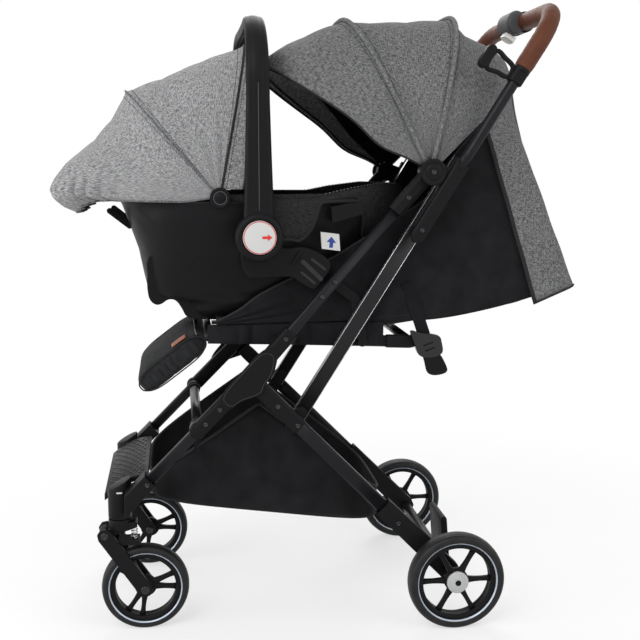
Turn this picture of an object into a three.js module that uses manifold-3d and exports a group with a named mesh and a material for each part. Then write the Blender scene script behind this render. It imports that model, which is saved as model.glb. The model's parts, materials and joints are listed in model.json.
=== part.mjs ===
// A travel system stroller: a folding four-wheeled frame with a reclined seat, a canopy, a basket
// and a leather-wrapped push handle, carrying an infant seat with its own hood and swinging handle.
// Millimetres, +Z up, the front towards -Y, the left side towards +X, the floor at Z = 0.

import * as THREE from 'three';
import { mergeVertices } from 'three/addons/utils/BufferGeometryUtils.js';
import Module from 'manifold-3d';

const wasm = await Module();
wasm.setup();

// General clearances
const seatGap = 0.3;
const runGap = 0.5;
const overrun = 30;

// Wheels
const rearWheelRadius = 85;
const rearTyreWidth = 32;
const rearRimRadius = 67;
const rearWheelGap = 17;
const rearAxleY = 229;
const frontWheelRadius = 75;
const frontTyreWidth = 30;
const frontRimRadius = 59;
const casterX = 145;
const frontAxleY = -305;
const rimWall = 7;
const rimWidth = 22;
const spokeWidth = 10;
const spokeDepth = 9;
const hubRadius = 17;
const hubLength = 28;
const axleRadius = 5;
const wheelSides = 24;
const treadShare = 0.45;
const shoulderShare = 0.45;
const rearSpokeDegrees = [0, 60, 120, 180, 240, 300];
const frontSpokeDegrees = [23, -5, 143, 115, 263, 235];

// Casters
const swivelY = -345;
const swivelRadius = 20;
const housingBottomZ = 200;
const housingFrontZ = 250;
const housingRearZ = 272;
const stemRadius = 7;
const stemTopZ = 240;
const yokeHalfWidth = 14;
const yokeTopZ = 199;
const yokeBottomZ = 181;
const armPivotY = -371;
const armPivotZ = 174;
const armPlateInset = 17;
const armPlateThick = 6;
const armWidth = 25;
const armEarRadius = 10.5;
const yokeBeamWidth = 12.5;
const yokeBeamZ = 189.3;
const armBoltRadius = 5;
const springY = -322;
const springSeatZ = 162;
const springSeatThick = 7;
const springSeatHalf = 9;
const springCoilRadius = 5;
const springWireRadius = 1;
const springTurns = 4;
const springSteps = 8;
const springWireSides = 5;

// Front frame: the leg's foot, its bend at the knee and the hub that everything folds about
const legX = 178;
const legThick = 16;
const frontLegWidth = 19;
const legFootY = -300;
const legFootZ = 265.7;
const kneeY = -100;
const kneeZ = 467;
const hubY = 181;
const hubZ = 785;
const fittingWall = 3.5;
const footSocketLength = 34;
const hubFittingRadius = 18;
const hubFittingLength = 88;
const hubBoltRadius = 6;

// Knee joint, in lengths along the lower leg and across it
const kneeLowerReach = 150;
const kneeUpperReach = 72;
const kneeCoverLength = 128;
const kneeCoverDepth = 49;
const kneeCoverThick = 5;
const kneeCoverFoot = -97;
const kneeCoverEdge = -18;
const kneePinAlong = -34;
const kneePinAcross = 24;
const kneePinRadius = 6;

// Shares of the knee cover's length and depth, round it from the lower end's tip
const kneeCoverShares = [
  [0, 0.3], [0.03, 0.59], [0.19, 0.68], [0.45, 1], [0.6, 0.89],
  [0.8, 0.78], [1, 0.38], [0.9, 0], [0.08, 0.06],
];

// Rear legs
const rearLegWidth = 26;
const rearLegEndWidth = 23;
const rearSeamAlong = 316;
const rearFootWidth = 33;
const rearFootEndWidth = 36;
const rearFootThick = 20;
const rearAxleTubeRadius = 10;
const axleShoulderRadius = 11;
const strutPinAlong = 90;
const strutPinAcross = 6;
const boltHeadRadius = 6.5;
const boltHeadHeight = 2.5;

// Brake
const pedalX = 120;
const pedalWidth = 84;
const pedalReach = 88;
const pedalLean = 7;
const pedalThick = 11;
const pedalRingRadius = 15;

// Crossbar, footboard and basket
const crossbarY = -211;
const crossbarZ = 357;
const crossbarRadius = 9;
const crossbarCollarX = 148;
const loopThick = 2;
const loopLowX = 132;
const loopHighX = 146;
const loopTailZ = 310;
const tabFrontY = 70;
const tabRearY = 84;
const tabLowZ = 222;
const tabHighZ = 240;
const tabInX = 133;
const boardFrontY = -372;
const boardRearY = -296;
const boardFrontZ = 236;
const boardRearZ = 268;
const boardThick = 13;
const boardBulge = 9;
const boardTaperShare = 0.35;
const boardTuck = 18.8;
const boardSteps = 8;
const basketHalfWidth = 148;
const basketWall = 4;
const basketFrontY = -295.7;
const basketRearY = 118;
const basketApexY = -105;
const basketApexZ = 392;
const basketFrontZ = 262;
const basketRearZ = 214;
const basketFloorFrontZ = 222;
const basketFloorRearZ = 178;
const basketSquareness = 5;
const basketSides = 28;
const basketLevelShares = [0, 0.12, 0.5, 1];
const basketWidthShares = [0.9, 0.98, 1, 0.985];

// Seat
const seatRailX = 138;
const seatRailHeight = 20;
const seatRailThick = 12;
const seatFrontY = -188;
const seatFrontZ = 508;
const seatRearY = 162;
const seatRearZ = 492;
const seatBarRadius = 8;
const slatY = -69;
const backBarRadius = 6;
const backLugWidth = 14;
const backLugLowX = 133;
const backLugHighX = 143;
const seatLinkTopY = 18;
const seatLinkTopZ = 604;
const seatLinkPivotY = 60;
const seatLinkPivotZ = 571;
const seatLinkFootY = 74;
const seatLinkWidth = 17;
const seatLinkThick = 6;
const seatHalfWidth = 144;
const seatPadThick = 22.4;
const seatPadFrontY = -178;
const seatPadRearY = 40;
const backPivotY = 50;
const backPivotZ = 520;
const backLength = 318;
const backThick = 26;
const backSlopeDegrees = 8;
const padRows = 10;
const padSides = 16;
const padNarrowShare = 0.12;
const padThinShare = 0.45;
const padChannelShare = 0.1;

// Leg rest
const legrestLength = 140;
const legrestThick = 46;
const legrestHalfWidth = 128;
const legrestSlopeDegrees = 217;

// Side fabric and rear panel
const sideFabricX = 144.3;
const sideFabricThick = 2.5;
const sideFrontY = -92;
const sideFrontZ = 534;
const sideLowY = 44;
const sideLowZ = 527;
const sideRearLowY = 372;
const sideRearLowZ = 566;
const sideHemY = 388;
const sideHemZ = 590;
const sideRearTopY = 298;
const sideRearTopZ = 838;
const sideTopY = 214;
const sideTopZ = 738;
const panelHalfWidth = 151.1;
const panelTopY = 326;
const panelTopZ = 893;
const panelBottomY = 449;
const panelBottomZ = 580;
const panelReturnTop = 60;
const panelReturnBottom = 79;
const panelCorner = 34;
const panelWall = 4;

// Handle: rails that slide through the hub guides, sleeves, U tube and grip
const handleX = 201.5;
const railX = 162;
const railOffset = 35;
const railWidth = 25;
const railThick = 12;
const railEndWidth = 22.5;
const railTopAlong = 24;
const guideDiscRadius = 21.6;
const guideDiscThick = 17;
const guideWall = 4;
const guideWebShare = 0.9;
const guideHalfLength = 24;
const sleeveWidth = 25;
const sleeveThick = 16;
const sleeveTopAlong = 36;
const sleeveLength = 140;
const sleevePinAlong = -90;
const handleTubeRadius = 9.5;
const handlePlugRadius = 7;
const handleBarAlong = 338;
const handleCornerRadius = 66;
const gripRadius = 15.5;
const gripStartAlong = 220;
const collarAlong = 205;
const collarLength = 24;
const collarWidth = 26;
const collarThick = 25;
const bracketReach = 70;
const bracketWidth = 22;
const bracketThick = 8;
const bracketKnobRadius = 9;
const slotStart = 27;
const slotEnd = 50;
const slotWidth = 10;
const housingHalfWidth = 34;
const housingHalfDepth = 21;
const housingHalfHeight = 23;
const buttonHalfWidth = 17;
const buttonDepth = 22;
const buttonHeight = 13;
const buttonShow = 5;
const buttonTravel = 4;
const housingSides = 20;

// Canopy: arches about the hub
const canopyHalfWidth = 185;
const canopyWall = 3;
const canopyBaseRadius = 18.6;
const canopyHoodGap = 19;

// Each arch's degrees, and its reach as a share of the canopy's, which ends short of the hood
const canopyArchShares = [
  [151, 1], [138, 0.9182], [124, 0.8697], [105, 0.7788],
  [87, 0.7848], [78, 0.7152], [66, 0.6909], [52, 0.6212],
];
const frontBowDegrees = 149;
const middleBowDegrees = 123;
const bowWidth = 7;
const bowBaseRadius = 20.5;
const bowThick = 4;
const bowGap = 1.4;
const frontBowX = 172.3;
const middleBowX = 178.8;
const bowCollarRadius = 22.5;
const bowCollarWidth = 4.6;
const bowCollarSteps = 7;
const bowCollarHighDegrees = 180;
const bowCollarLowDegrees = 46;
const bowSides = 6;
const archSquareness = 3;
const archSteps = 12;

// Infant carrier
const rimFrontY = -330;
const rimRearY = 166;
const rimZ = 738;
const rimHalfWidth = 177;
const shellBottomZ = 541;
const shellBottomFrontY = -222;
const shellBottomRearY = 52;
const shellBottomHalfWidth = 108;
const shellWall = 5;
const shellTaperShare = 0.2;
const shellSquareness = 2.7;
const shellSides = 22;
const shellLevels = [
  { share: 0, bulge: 0 },
  { share: 0.22, bulge: 0.42 },
  { share: 0.55, bulge: 0.74 },
  { share: 0.85, bulge: 0.95 },
  { share: 1, bulge: 1 },
];
const linerThick = 11;
const linerRise = 11;
const bossInX = 150;
const guardInX = 124;
const hoodEarZ = 762;
const hoodEarWidth = 18;
const hoodEarThick = 2.7;
const hoodStudRadius = 12;
const hoodKnobRadius = 17;
const hoodKnobThick = 4;
const carrierHubY = -107;
const carrierHubZ = 681.5;
const carrierHubRadius = 39;
const carrierHubX = 197;
const carrierHubThick = 24;
const carrierPinRadius = 8;
const carrierBossRadius = 26;
const labelRadius = 27;
const labelThick = 7;
const labelTravel = 3;
const carrierHandleX = 208;
const carrierHandleTopZ = 1018;
const carrierHandleCorner = 105;
const carrierArmThick = 18;
const carrierArmWideWidth = 45;
const carrierArmNarrowWidth = 35;
const carrierArmStraightShare = 0.4;
const carrierArmTaperShare = 0.33;
const carrierArmSides = 10;
const hoodPivotY = -168;
const hoodPivotZ = 744;
const hoodHalfWidth = 186;
const hoodWall = 3;
const hoodBaseRadius = 14;
const hoodReach = 272;

// Each arch's degrees, and its reach as a share of the hood's
const hoodArchShares = [
  [80, 0.8971], [98, 0.8603], [116, 0.8015], [134, 0.7574],
  [150, 0.8162], [166, 0.9706], [176, 1],
];
const hoodWidthShares = [1, 1, 1, 1, 1, 0.99, 0.99];
const hoodBowDegrees = 132;
const hoodBowReach = 192;
const hoodBowBaseRadius = 16;
const guardTopY = -136;
const guardRearY = 6;
const guardTopZ = 668;
const guardLowZ = 604;
const guardOuterX = 172;

// Strap
const strapWidth = 22;
const strapThick = 1.6;
const strapTopY = 152;
const strapTopZ = 597;
const strapFootY = 184;
const strapFootZ = 504;
const strapLieGap = 0.3;
const buckleLength = 52;
const buckleWidth = 30;
const buckleThick = 11;
const buckleTongue = 9;

// Facets round the smaller pieces
const ringSides = 18;
const gripSides = 12;
const tubeSides = 10;
const ovalSides = 8;
const roundSides = 12;

// Materials
const paint = (color, roughness, metalness) =>
  new THREE.MeshStandardMaterial({ color, roughness, metalness });
const blackTube = paint(0x1b1b1e, 0.45, 0.55);
const blackPlastic = paint(0x1c1c1e, 0.55, 0);
const rubber = paint(0x151516, 0.85, 0);
const silver = paint(0xb9bcc0, 0.3, 0.9);
const greyFabric = paint(0x828385, 0.95, 0);
const blackFabric = paint(0x141416, 0.95, 0);
const darkFabric = paint(0x35363a, 0.95, 0);
const leather = paint(0x5b2c1a, 0.55, 0);
const palePlastic = paint(0xd9d8d2, 0.4, 0);
const steel = paint(0xc4c6c8, 0.3, 0.95);

// Small geometry helpers
const radians = (degrees) => (degrees * Math.PI) / 180;
const point = (x, y, z) => new THREE.Vector3(x, y, z);
const blend = (a, b, share) => a + (b - a) * share;
const direction = (degrees) => [Math.cos(radians(degrees)), Math.sin(radians(degrees))];

function turnOutward(geometry) {
  const p = geometry.attributes.position;
  const index = geometry.index.array;
  const corner = (i) => new THREE.Vector3().fromBufferAttribute(p, index[i]);
  let volume = 0;
  for (let i = 0; i < index.length; i += 3) {
    volume += corner(i).dot(corner(i + 1).cross(corner(i + 2)));
  }
  if (volume < 0) {
    for (let i = 0; i < index.length; i += 3) {
      [index[i], index[i + 1]] = [index[i + 1], index[i]];
    }
  }
  return geometry;
}

function toSolid(geometry) {
  const bare = geometry.clone();
  bare.deleteAttribute('normal');
  bare.deleteAttribute('uv');
  const merged = turnOutward(mergeVertices(bare));
  return new wasm.Manifold(
    new wasm.Mesh({
      numProp: 3,
      vertProperties: new Float32Array(merged.attributes.position.array),
      triVerts: new Uint32Array(merged.index.array),
    }),
  );
}

function toGeometry(solid) {
  const mesh = solid.getMesh();
  const geometry = new THREE.BufferGeometry();
  geometry.setAttribute('position', new THREE.BufferAttribute(mesh.vertProperties, 3));
  geometry.setIndex(new THREE.BufferAttribute(mesh.triVerts, 1));
  geometry.computeVertexNormals();
  return geometry;
}

function fromTriangles(points, faces) {
  const geometry = new THREE.BufferGeometry();
  geometry.setAttribute(
    'position',
    new THREE.Float32BufferAttribute(points.flatMap((p) => [p.x, p.y, p.z]), 3),
  );
  geometry.setIndex(faces);
  return toSolid(geometry);
}

// A closed skin over rings of equal counts, with a fan over each end ring
function skin(rings) {
  const count = rings[0].length;
  const points = rings.flat();
  const faces = [];
  for (let i = 0; i + 1 < rings.length; i += 1) {
    for (let j = 0; j < count; j += 1) {
      const a = i * count + j;
      const b = i * count + ((j + 1) % count);
      faces.push(a, b, b + count, a, b + count, a + count);
    }
  }
  for (const [start, turned] of [[0, true], [points.length - count, false]]) {
    const ring = points.slice(start, start + count);
    const centre = ring.reduce((sum, p) => sum.add(p), point(0, 0, 0)).divideScalar(count);
    points.push(centre);
    for (let j = 0; j < count; j += 1) {
      const a = start + j;
      const b = start + ((j + 1) % count);
      faces.push(points.length - 1, ...(turned ? [b, a] : [a, b]));
    }
  }
  return fromTriangles(points, faces);
}

// A closed sheet between an outer and an inner grid of points
function sheet(outer, inner) {
  const rows = outer.length;
  const columns = outer[0].length;
  const points = [...outer.flat(), ...inner.flat()];
  const shift = rows * columns;
  const faces = [];
  const quad = (a, b, c, d) => faces.push(a, b, c, a, c, d);
  for (let i = 0; i + 1 < rows; i += 1) {
    for (let j = 0; j + 1 < columns; j += 1) {
      const a = i * columns + j;
      const b = a + 1;
      const c = b + columns;
      const d = a + columns;
      quad(a, b, c, d);
      quad(shift + b, shift + a, shift + d, shift + c);
    }
  }
  const edge = [];
  for (let j = 0; j + 1 < columns; j += 1) edge.push(j);
  for (let i = 0; i + 1 < rows; i += 1) edge.push(i * columns + columns - 1);
  for (let j = columns - 1; j > 0; j -= 1) edge.push((rows - 1) * columns + j);
  for (let i = rows - 1; i > 0; i -= 1) edge.push(i * columns);
  edge.forEach((a, k) => {
    const b = edge[(k + 1) % edge.length];
    quad(b, a, shift + a, shift + b);
  });
  return fromTriangles(points, faces);
}

// A prism of an outline in Y and Z, between two planes across X
function sidePlate(outline, lowX, highX) {
  const shape = new THREE.Shape(outline.map(([y, z]) => new THREE.Vector2(y, z)));
  const geometry = new THREE.ExtrudeGeometry(shape, {
    depth: highX - lowX,
    bevelEnabled: false,
    curveSegments: ringSides,
  });
  const basis = new THREE.Matrix4().makeBasis(point(0, 1, 0), point(0, 0, 1), point(1, 0, 0));
  geometry.applyMatrix4(basis.setPosition(lowX, 0, 0));
  return toSolid(geometry);
}

function sideDisc(y, z, radius, lowX, highX, sides = roundSides) {
  const geometry = new THREE.CylinderGeometry(radius, radius, highX - lowX, sides);
  geometry.rotateZ(Math.PI / 2);
  geometry.translate((lowX + highX) / 2, y, z);
  return toSolid(geometry);
}

function upright(x, y, lowZ, highZ, radius, sides = roundSides) {
  const geometry = new THREE.CylinderGeometry(radius, radius, highZ - lowZ, sides);
  geometry.rotateX(Math.PI / 2);
  geometry.translate(x, y, (lowZ + highZ) / 2);
  return toSolid(geometry);
}

function box(lowX, highX, lowY, highY, lowZ, highZ) {
  const geometry = new THREE.BoxGeometry(highX - lowX, highY - lowY, highZ - lowZ);
  geometry.translate((lowX + highX) / 2, (lowY + highY) / 2, (lowZ + highZ) / 2);
  return toSolid(geometry);
}

// The outline of a bar with rounded ends, from one point of the side view to another
function barOutline([y0, z0], [y1, z1], startWidth, endWidth = startWidth, steps = 4) {
  const along = Math.atan2(z1 - z0, y1 - y0);
  const outline = [];
  for (let k = 0; k <= steps; k += 1) {
    const turn = along + Math.PI / 2 + (Math.PI * k) / steps;
    outline.push([y0 + (startWidth / 2) * Math.cos(turn), z0 + (startWidth / 2) * Math.sin(turn)]);
  }
  for (let k = 0; k <= steps; k += 1) {
    const turn = along - Math.PI / 2 + (Math.PI * k) / steps;
    outline.push([y1 + (endWidth / 2) * Math.cos(turn), z1 + (endWidth / 2) * Math.sin(turn)]);
  }
  return outline;
}

// A straight flat-oval tube in a side plane, cut square at both ends, its flats at full thickness
function ovalTube([y0, z0], [y1, z1], width, thick, centreX) {
  const length = Math.hypot(y1 - y0, z1 - z0);
  const radius = Math.min(width, thick) / 2 / Math.cos(Math.PI / ovalSides);
  const straight = Math.abs(width - thick) / 2;
  const shape = new THREE.Shape();
  const along = width > thick;
  for (let k = 0; k < ovalSides; k += 1) {
    const turn = (2 * Math.PI * (k + 0.5)) / ovalSides;
    const bulge = [radius * Math.cos(turn), radius * Math.sin(turn)];
    const side = along ? Math.sign(bulge[1]) : Math.sign(bulge[0]);
    const x = bulge[0] + (along ? 0 : side * straight);
    const y = bulge[1] + (along ? side * straight : 0);
    if (k === 0) shape.moveTo(x, y);
    else shape.lineTo(x, y);
  }
  const geometry = new THREE.ExtrudeGeometry(shape, { depth: length, bevelEnabled: false });
  const run = point(0, (y1 - y0) / length, (z1 - z0) / length);
  const across = run.clone().cross(point(1, 0, 0));
  const basis = new THREE.Matrix4().makeBasis(point(1, 0, 0), across, run);
  geometry.applyMatrix4(basis.setPosition(centreX, y0, z0));
  return toSolid(geometry);
}

// Rings of a tube along a chain of points that lies in the plane across one direction
function tubeRings(points, normal, sideRadius, normalRadius, sides) {
  return points.map((centre, i) => {
    const before = points[Math.max(i - 1, 0)];
    const after = points[Math.min(i + 1, points.length - 1)];
    const run = after.clone().sub(before).normalize();
    const side = run.clone().cross(normal).normalize();
    const ring = [];
    for (let k = 0; k < sides; k += 1) {
      const turn = (2 * Math.PI * (k + 0.5)) / sides;
      ring.push(
        centre
          .clone()
          .addScaledVector(side, sideRadius * Math.cos(turn))
          .addScaledVector(normal, normalRadius * Math.sin(turn)),
      );
    }
    return ring;
  });
}

const roundTube = (points, normal, radius, sides = roundSides) =>
  skin(tubeRings(points, normal, radius, radius, sides));

function mirror(solid) {
  const geometry = toGeometry(solid);
  geometry.scale(-1, 1, 1);
  geometry.deleteAttribute('normal');
  return toSolid(geometry);
}

const join = (...solids) => solids.reduce((all, next) => all.add(next));

const stroller = new THREE.Group();

function place(name, solid, material) {
  const mesh = new THREE.Mesh(toGeometry(solid), material);
  mesh.name = name;
  stroller.add(mesh);
}

function placePair(name, solid, material) {
  place(`${name}_left`, solid, material);
  place(`${name}_right`, mirror(solid), material);
}

// Points and directions that several pieces share
const rearTrackHalf = legX + rearFootThick / 2 + rearWheelGap + rearTyreWidth / 2;
const rearAxleZ = rearWheelRadius * Math.cos(Math.PI / wheelSides);
const frontAxleZ = frontWheelRadius * Math.cos(Math.PI / wheelSides);
const canopyReach = hubY - hoodPivotY - canopyHoodGap;
const legFoot = [legFootY, legFootZ];
const knee = [kneeY, kneeZ];
const hub = [hubY, hubZ];
const legInX = legX - legThick / 2;
const legOutX = legX + legThick / 2;
const hoodPivot = [hoodPivotY, hoodPivotZ];
const hoodEarInX = hoodHalfWidth - hoodWall - hoodEarThick - 2 * seatGap;
const strapX = sideFabricX + sideFabricThick + strapLieGap + strapThick / 2;

function unit([y0, z0], [y1, z1]) {
  const length = Math.hypot(y1 - y0, z1 - z0);
  return [(y1 - y0) / length, (z1 - z0) / length];
}

// A point of the side view, in lengths along a direction and to its lower right
const local = ([y, z], [dy, dz], along, across = 0) => [
  y + dy * along + dz * across,
  z + dz * along - dy * across,
];

const lowerLegRun = unit(legFoot, knee);
const upperLegRun = unit(knee, hub);
const kneePin = local(knee, lowerLegRun, kneePinAlong, kneePinAcross);
const rearAxle = [rearAxleY, rearAxleZ];
const rearLegRun = unit(kneePin, rearAxle);
const strutPin = local(kneePin, rearLegRun, strutPinAlong, strutPinAcross);

// The rail's axis passes the strut pin and keeps its offset from the hub
const pinToHub = Math.hypot(hubY - strutPin[0], hubZ - strutPin[1]);
const pinToHubTurn = Math.atan2(hubZ - strutPin[1], hubY - strutPin[0]);
const handleTurn = pinToHubTurn - Math.asin(railOffset / pinToHub);
const handleRun = [Math.cos(handleTurn), Math.sin(handleTurn)];
const railFootpoint = local(hub, handleRun, 0, railOffset);
const alongHandle = (along, across = 0) => local(railFootpoint, handleRun, along, across);

// Wheels
function lathe(profile, centreX, [y, z]) {
  const outline = profile.map(([radius, x]) => new THREE.Vector2(radius, x));
  const geometry = new THREE.LatheGeometry([...outline, outline[0]], wheelSides);
  geometry.rotateZ(-Math.PI / 2);
  geometry.rotateX(Math.PI / wheelSides);
  geometry.translate(centreX, y, z);
  return toSolid(geometry);
}

function tyre(radius, rimRadius, width, centreX, axle) {
  const half = width / 2;
  const tread = half * treadShare;
  const shoulder = radius - (radius - rimRadius) * shoulderShare;
  const profile = [
    [rimRadius + seatGap, -rimWidth / 2],
    [shoulder, -half],
    [radius, -tread],
    [radius, tread],
    [shoulder, half],
    [rimRadius + seatGap, rimWidth / 2],
  ];
  return lathe(profile, centreX, axle);
}

function rim(rimRadius, spokes, centreX, [y, z]) {
  const half = rimWidth / 2;
  const inner = rimRadius - rimWall;
  const ring = lathe(
    [[rimRadius, -half], [rimRadius, half], [inner, half], [inner, -half]],
    centreX,
    [y, z],
  );
  const pieces = spokes.map((degrees) => {
    const [dy, dz] = direction(degrees);
    const start = [y + dy * axleRadius * 2, z + dz * axleRadius * 2];
    const tip = inner + (rimWall - spokeWidth) / 2;
    const end = [y + dy * tip, z + dz * tip];
    return sidePlate(
      barOutline(start, end, spokeWidth, spokeWidth, 2),
      centreX - spokeDepth / 2,
      centreX + spokeDepth / 2,
    );
  });
  const barrel = sideDisc(y, z, hubRadius, centreX - hubLength / 2, centreX + hubLength / 2);
  const bore = sideDisc(y, z, axleRadius + runGap, centreX - overrun, centreX + overrun);
  return join(ring, barrel, ...pieces).subtract(bore);
}

function makeWheels() {
  const rear = [rearAxleY, rearAxleZ];
  const front = [frontAxleY, frontAxleZ];
  placePair('rear_rim', rim(rearRimRadius, rearSpokeDegrees, rearTrackHalf, rear), blackPlastic);
  placePair(
    'rear_tyre',
    tyre(rearWheelRadius, rearRimRadius, rearTyreWidth, rearTrackHalf, rear),
    rubber,
  );
  placePair('front_rim', rim(frontRimRadius, frontSpokeDegrees, casterX, front), blackPlastic);
  placePair(
    'front_tyre',
    tyre(frontWheelRadius, frontRimRadius, frontTyreWidth, casterX, front),
    rubber,
  );
}

// Casters
function casterYoke() {
  const stem = upright(casterX, swivelY, yokeTopZ - seatGap, stemTopZ, stemRadius);
  const plate = upright(casterX, swivelY, yokeBottomZ, yokeTopZ, swivelRadius);
  const inX = casterX - yokeHalfWidth;
  const outX = casterX + yokeHalfWidth;
  const outline = barOutline([springY, yokeBeamZ], [armPivotY, armPivotZ], yokeBeamWidth);
  const beam = sidePlate(outline, inX, outX);
  const ear = sideDisc(armPivotY, armPivotZ, armEarRadius, inX, outX);
  const bore = sideDisc(
    armPivotY, armPivotZ, armBoltRadius + runGap, inX - overrun, outX + overrun,
  );
  return join(plate, stem, beam, ear).subtract(bore);
}

function casterFork() {
  const axle = [frontAxleY, frontAxleZ];
  const outline = barOutline([armPivotY, armPivotZ], axle, armWidth);
  const plates = [-1, 1].map((side) => {
    const inner = casterX + side * armPlateInset;
    const outer = inner + side * armPlateThick;
    return sidePlate(outline, Math.min(inner, outer), Math.max(inner, outer));
  });
  const reach = armPlateInset + armPlateThick;
  const pin = sideDisc(frontAxleY, frontAxleZ, axleRadius, casterX - reach, casterX + reach);
  const bolt = sideDisc(armPivotY, armPivotZ, armBoltRadius, casterX - reach, casterX + reach);
  const run = unit([armPivotY, armPivotZ], axle);
  const root = local([armPivotY, armPivotZ], run, armWidth, 0);
  const shelfTop = springSeatZ;
  const shelf = sidePlate(
    [
      [root[0], shelfTop - springSeatThick],
      [springY + springSeatHalf, shelfTop - springSeatThick],
      [springY + springSeatHalf, shelfTop],
      [root[0] + springSeatHalf, shelfTop],
      [root[0] - springSeatHalf / 3, shelfTop - springSeatThick / 2],
    ],
    casterX - armPlateInset,
    casterX + armPlateInset,
  );
  return join(...plates, pin, bolt, shelf);
}

function coilSpring() {
  const low = springSeatZ + seatGap;
  const high = yokeBottomZ - seatGap;
  const lead = springWireRadius * 2;
  const steps = springTurns * springSteps;
  const centres = [];
  const coilLow = low + lead;
  const coilHigh = high - lead;
  centres.push(point(casterX + springCoilRadius, springY, low));
  for (let k = 0; k <= steps; k += 1) {
    const turn = (2 * Math.PI * k) / springSteps;
    centres.push(
      point(
        casterX + springCoilRadius * Math.cos(turn),
        springY + springCoilRadius * Math.sin(turn),
        blend(coilLow, coilHigh, k / steps),
      ),
    );
  }
  centres.push(point(casterX + springCoilRadius, springY, high));
  const rings = centres.map((centre, i) => {
    const before = centres[Math.max(i - 1, 0)];
    const after = centres[Math.min(i + 1, centres.length - 1)];
    const atEnd = i === 0 || i === centres.length - 1;
    const run = atEnd ? point(0, 0, 1) : after.clone().sub(before).normalize();
    const outward = centre.clone().sub(point(casterX, springY, centre.z)).normalize();
    const across = run.clone().cross(outward).normalize();
    const ring = [];
    for (let s = 0; s < springWireSides; s += 1) {
      const turn = (2 * Math.PI * s) / springWireSides;
      ring.push(
        centre
          .clone()
          .addScaledVector(outward, springWireRadius * Math.cos(turn))
          .addScaledVector(across, springWireRadius * Math.sin(turn)),
      );
    }
    return ring;
  });
  const pitchGap = (coilHigh - coilLow) / springTurns - 2 * springWireRadius;
  console.log(`suspension spring: least gap between curls ${pitchGap.toFixed(2)} mm`);
  return skin(rings);
}

function swivelHousing() {
  const shell = upright(casterX, swivelY, housingBottomZ, housingRearZ + fittingWall, swivelRadius);
  const silhouette = sidePlate(
    [
      [swivelY - swivelRadius, housingBottomZ],
      [swivelY + swivelRadius, housingBottomZ],
      [swivelY + swivelRadius, housingRearZ],
      [swivelY - swivelRadius, housingFrontZ],
    ],
    casterX - overrun,
    casterX + overrun,
  );
  const bore = upright(
    casterX, swivelY, housingBottomZ - seatGap, stemTopZ + 2 * runGap, stemRadius + runGap,
  );
  const socketWidth = frontLegWidth + 2 * fittingWall;
  const seam = local(legFoot, lowerLegRun, footSocketLength / 3);
  const start = local(seam, lowerLegRun, -footSocketLength);
  const half = socketWidth / 2;
  const arm = sidePlate(
    [
      [swivelY + swivelRadius / 2, housingBottomZ + swivelRadius / 2],
      local(start, lowerLegRun, 0, half),
      local(seam, lowerLegRun, 0, half),
      local(seam, lowerLegRun, 0, -half),
      local(start, lowerLegRun, 0, -half),
      [swivelY + swivelRadius / 2, housingFrontZ],
    ],
    casterX + swivelRadius / 3,
    legOutX + fittingWall,
  );
  return join(shell.intersect(silhouette), arm).subtract(bore).subtract(legPocket());
}

// The space that the front leg fills in the fittings round it
function legPocket() {
  const start = local(legFoot, lowerLegRun, -seatGap);
  const width = frontLegWidth + 2 * seatGap;
  const thick = legThick + 2 * seatGap;
  return join(
    ovalTube(start, knee, width, thick, legX),
    ovalTube(knee, hub, width, thick, legX),
    sideDisc(...knee, frontLegWidth / 2 + seatGap, legInX - seatGap, legOutX + seatGap),
  );
}

function frontLeg() {
  const top = local(hub, upperLegRun, -hubFittingRadius);
  return join(
    ovalTube(legFoot, knee, frontLegWidth, legThick, legX),
    ovalTube(knee, top, frontLegWidth, legThick, legX),
    sideDisc(...knee, frontLegWidth / 2, legInX, legOutX),
  );
}

function kneeJoint() {
  const wide = frontLegWidth + 2 * fittingWall;
  const thick = legThick + 2 * fittingWall;
  const low = local(knee, lowerLegRun, -kneeLowerReach);
  const high = local(knee, upperLegRun, kneeUpperReach);
  const sleeve = join(
    ovalTube(low, knee, wide, thick, legX),
    ovalTube(knee, high, wide, thick, legX),
    sideDisc(...knee, wide / 2, legX - thick / 2, legX + thick / 2),
  );
  const outline = kneeCoverShares.map(([along, across]) =>
    local(
      knee,
      lowerLegRun,
      kneeCoverFoot + along * kneeCoverLength,
      kneeCoverEdge + across * kneeCoverDepth,
    ),
  );
  const coverInX = legOutX + runGap * 2;
  const cover = sidePlate(outline, coverInX, coverInX + kneeCoverThick);
  const room = sideDisc(
    ...kneePin, rearLegEndWidth / 2 + runGap * 2, legInX - fittingWall - runGap, coverInX, ringSides,
  );
  const pin = sideDisc(...kneePin, kneePinRadius, legInX, coverInX + kneeCoverThick / 2);
  const collarRadius = crossbarRadius + fittingWall;
  const collar = sideDisc(crossbarY, crossbarZ, collarRadius, crossbarCollarX, legInX);
  const socket = sideDisc(crossbarY, crossbarZ, crossbarRadius + seatGap, 0, legInX - fittingWall);
  return join(sleeve.subtract(room), cover, collar.subtract(socket)).subtract(legPocket()).add(pin);
}

function hubFitting() {
  const low = local(hub, upperLegRun, -hubFittingLength);
  const wide = frontLegWidth + 2 * fittingWall;
  const socket = ovalTube(low, hub, wide, legThick + 2 * fittingWall, legX);
  const disc = sideDisc(
    ...hub, hubFittingRadius, legInX - fittingWall, legOutX + fittingWall, ringSides,
  );
  const leg = ovalTube(
    local(low, upperLegRun, -overrun),
    local(hub, upperLegRun, seatGap - hubFittingRadius),
    frontLegWidth + 2 * seatGap,
    legThick + 2 * seatGap,
    legX,
  );
  const outX = legOutX + fittingWall;
  const bolt = sideDisc(...hub, hubBoltRadius, outX - fittingWall, outX + guideDiscThick);
  return join(join(socket, disc).subtract(leg), bolt);
}

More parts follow.
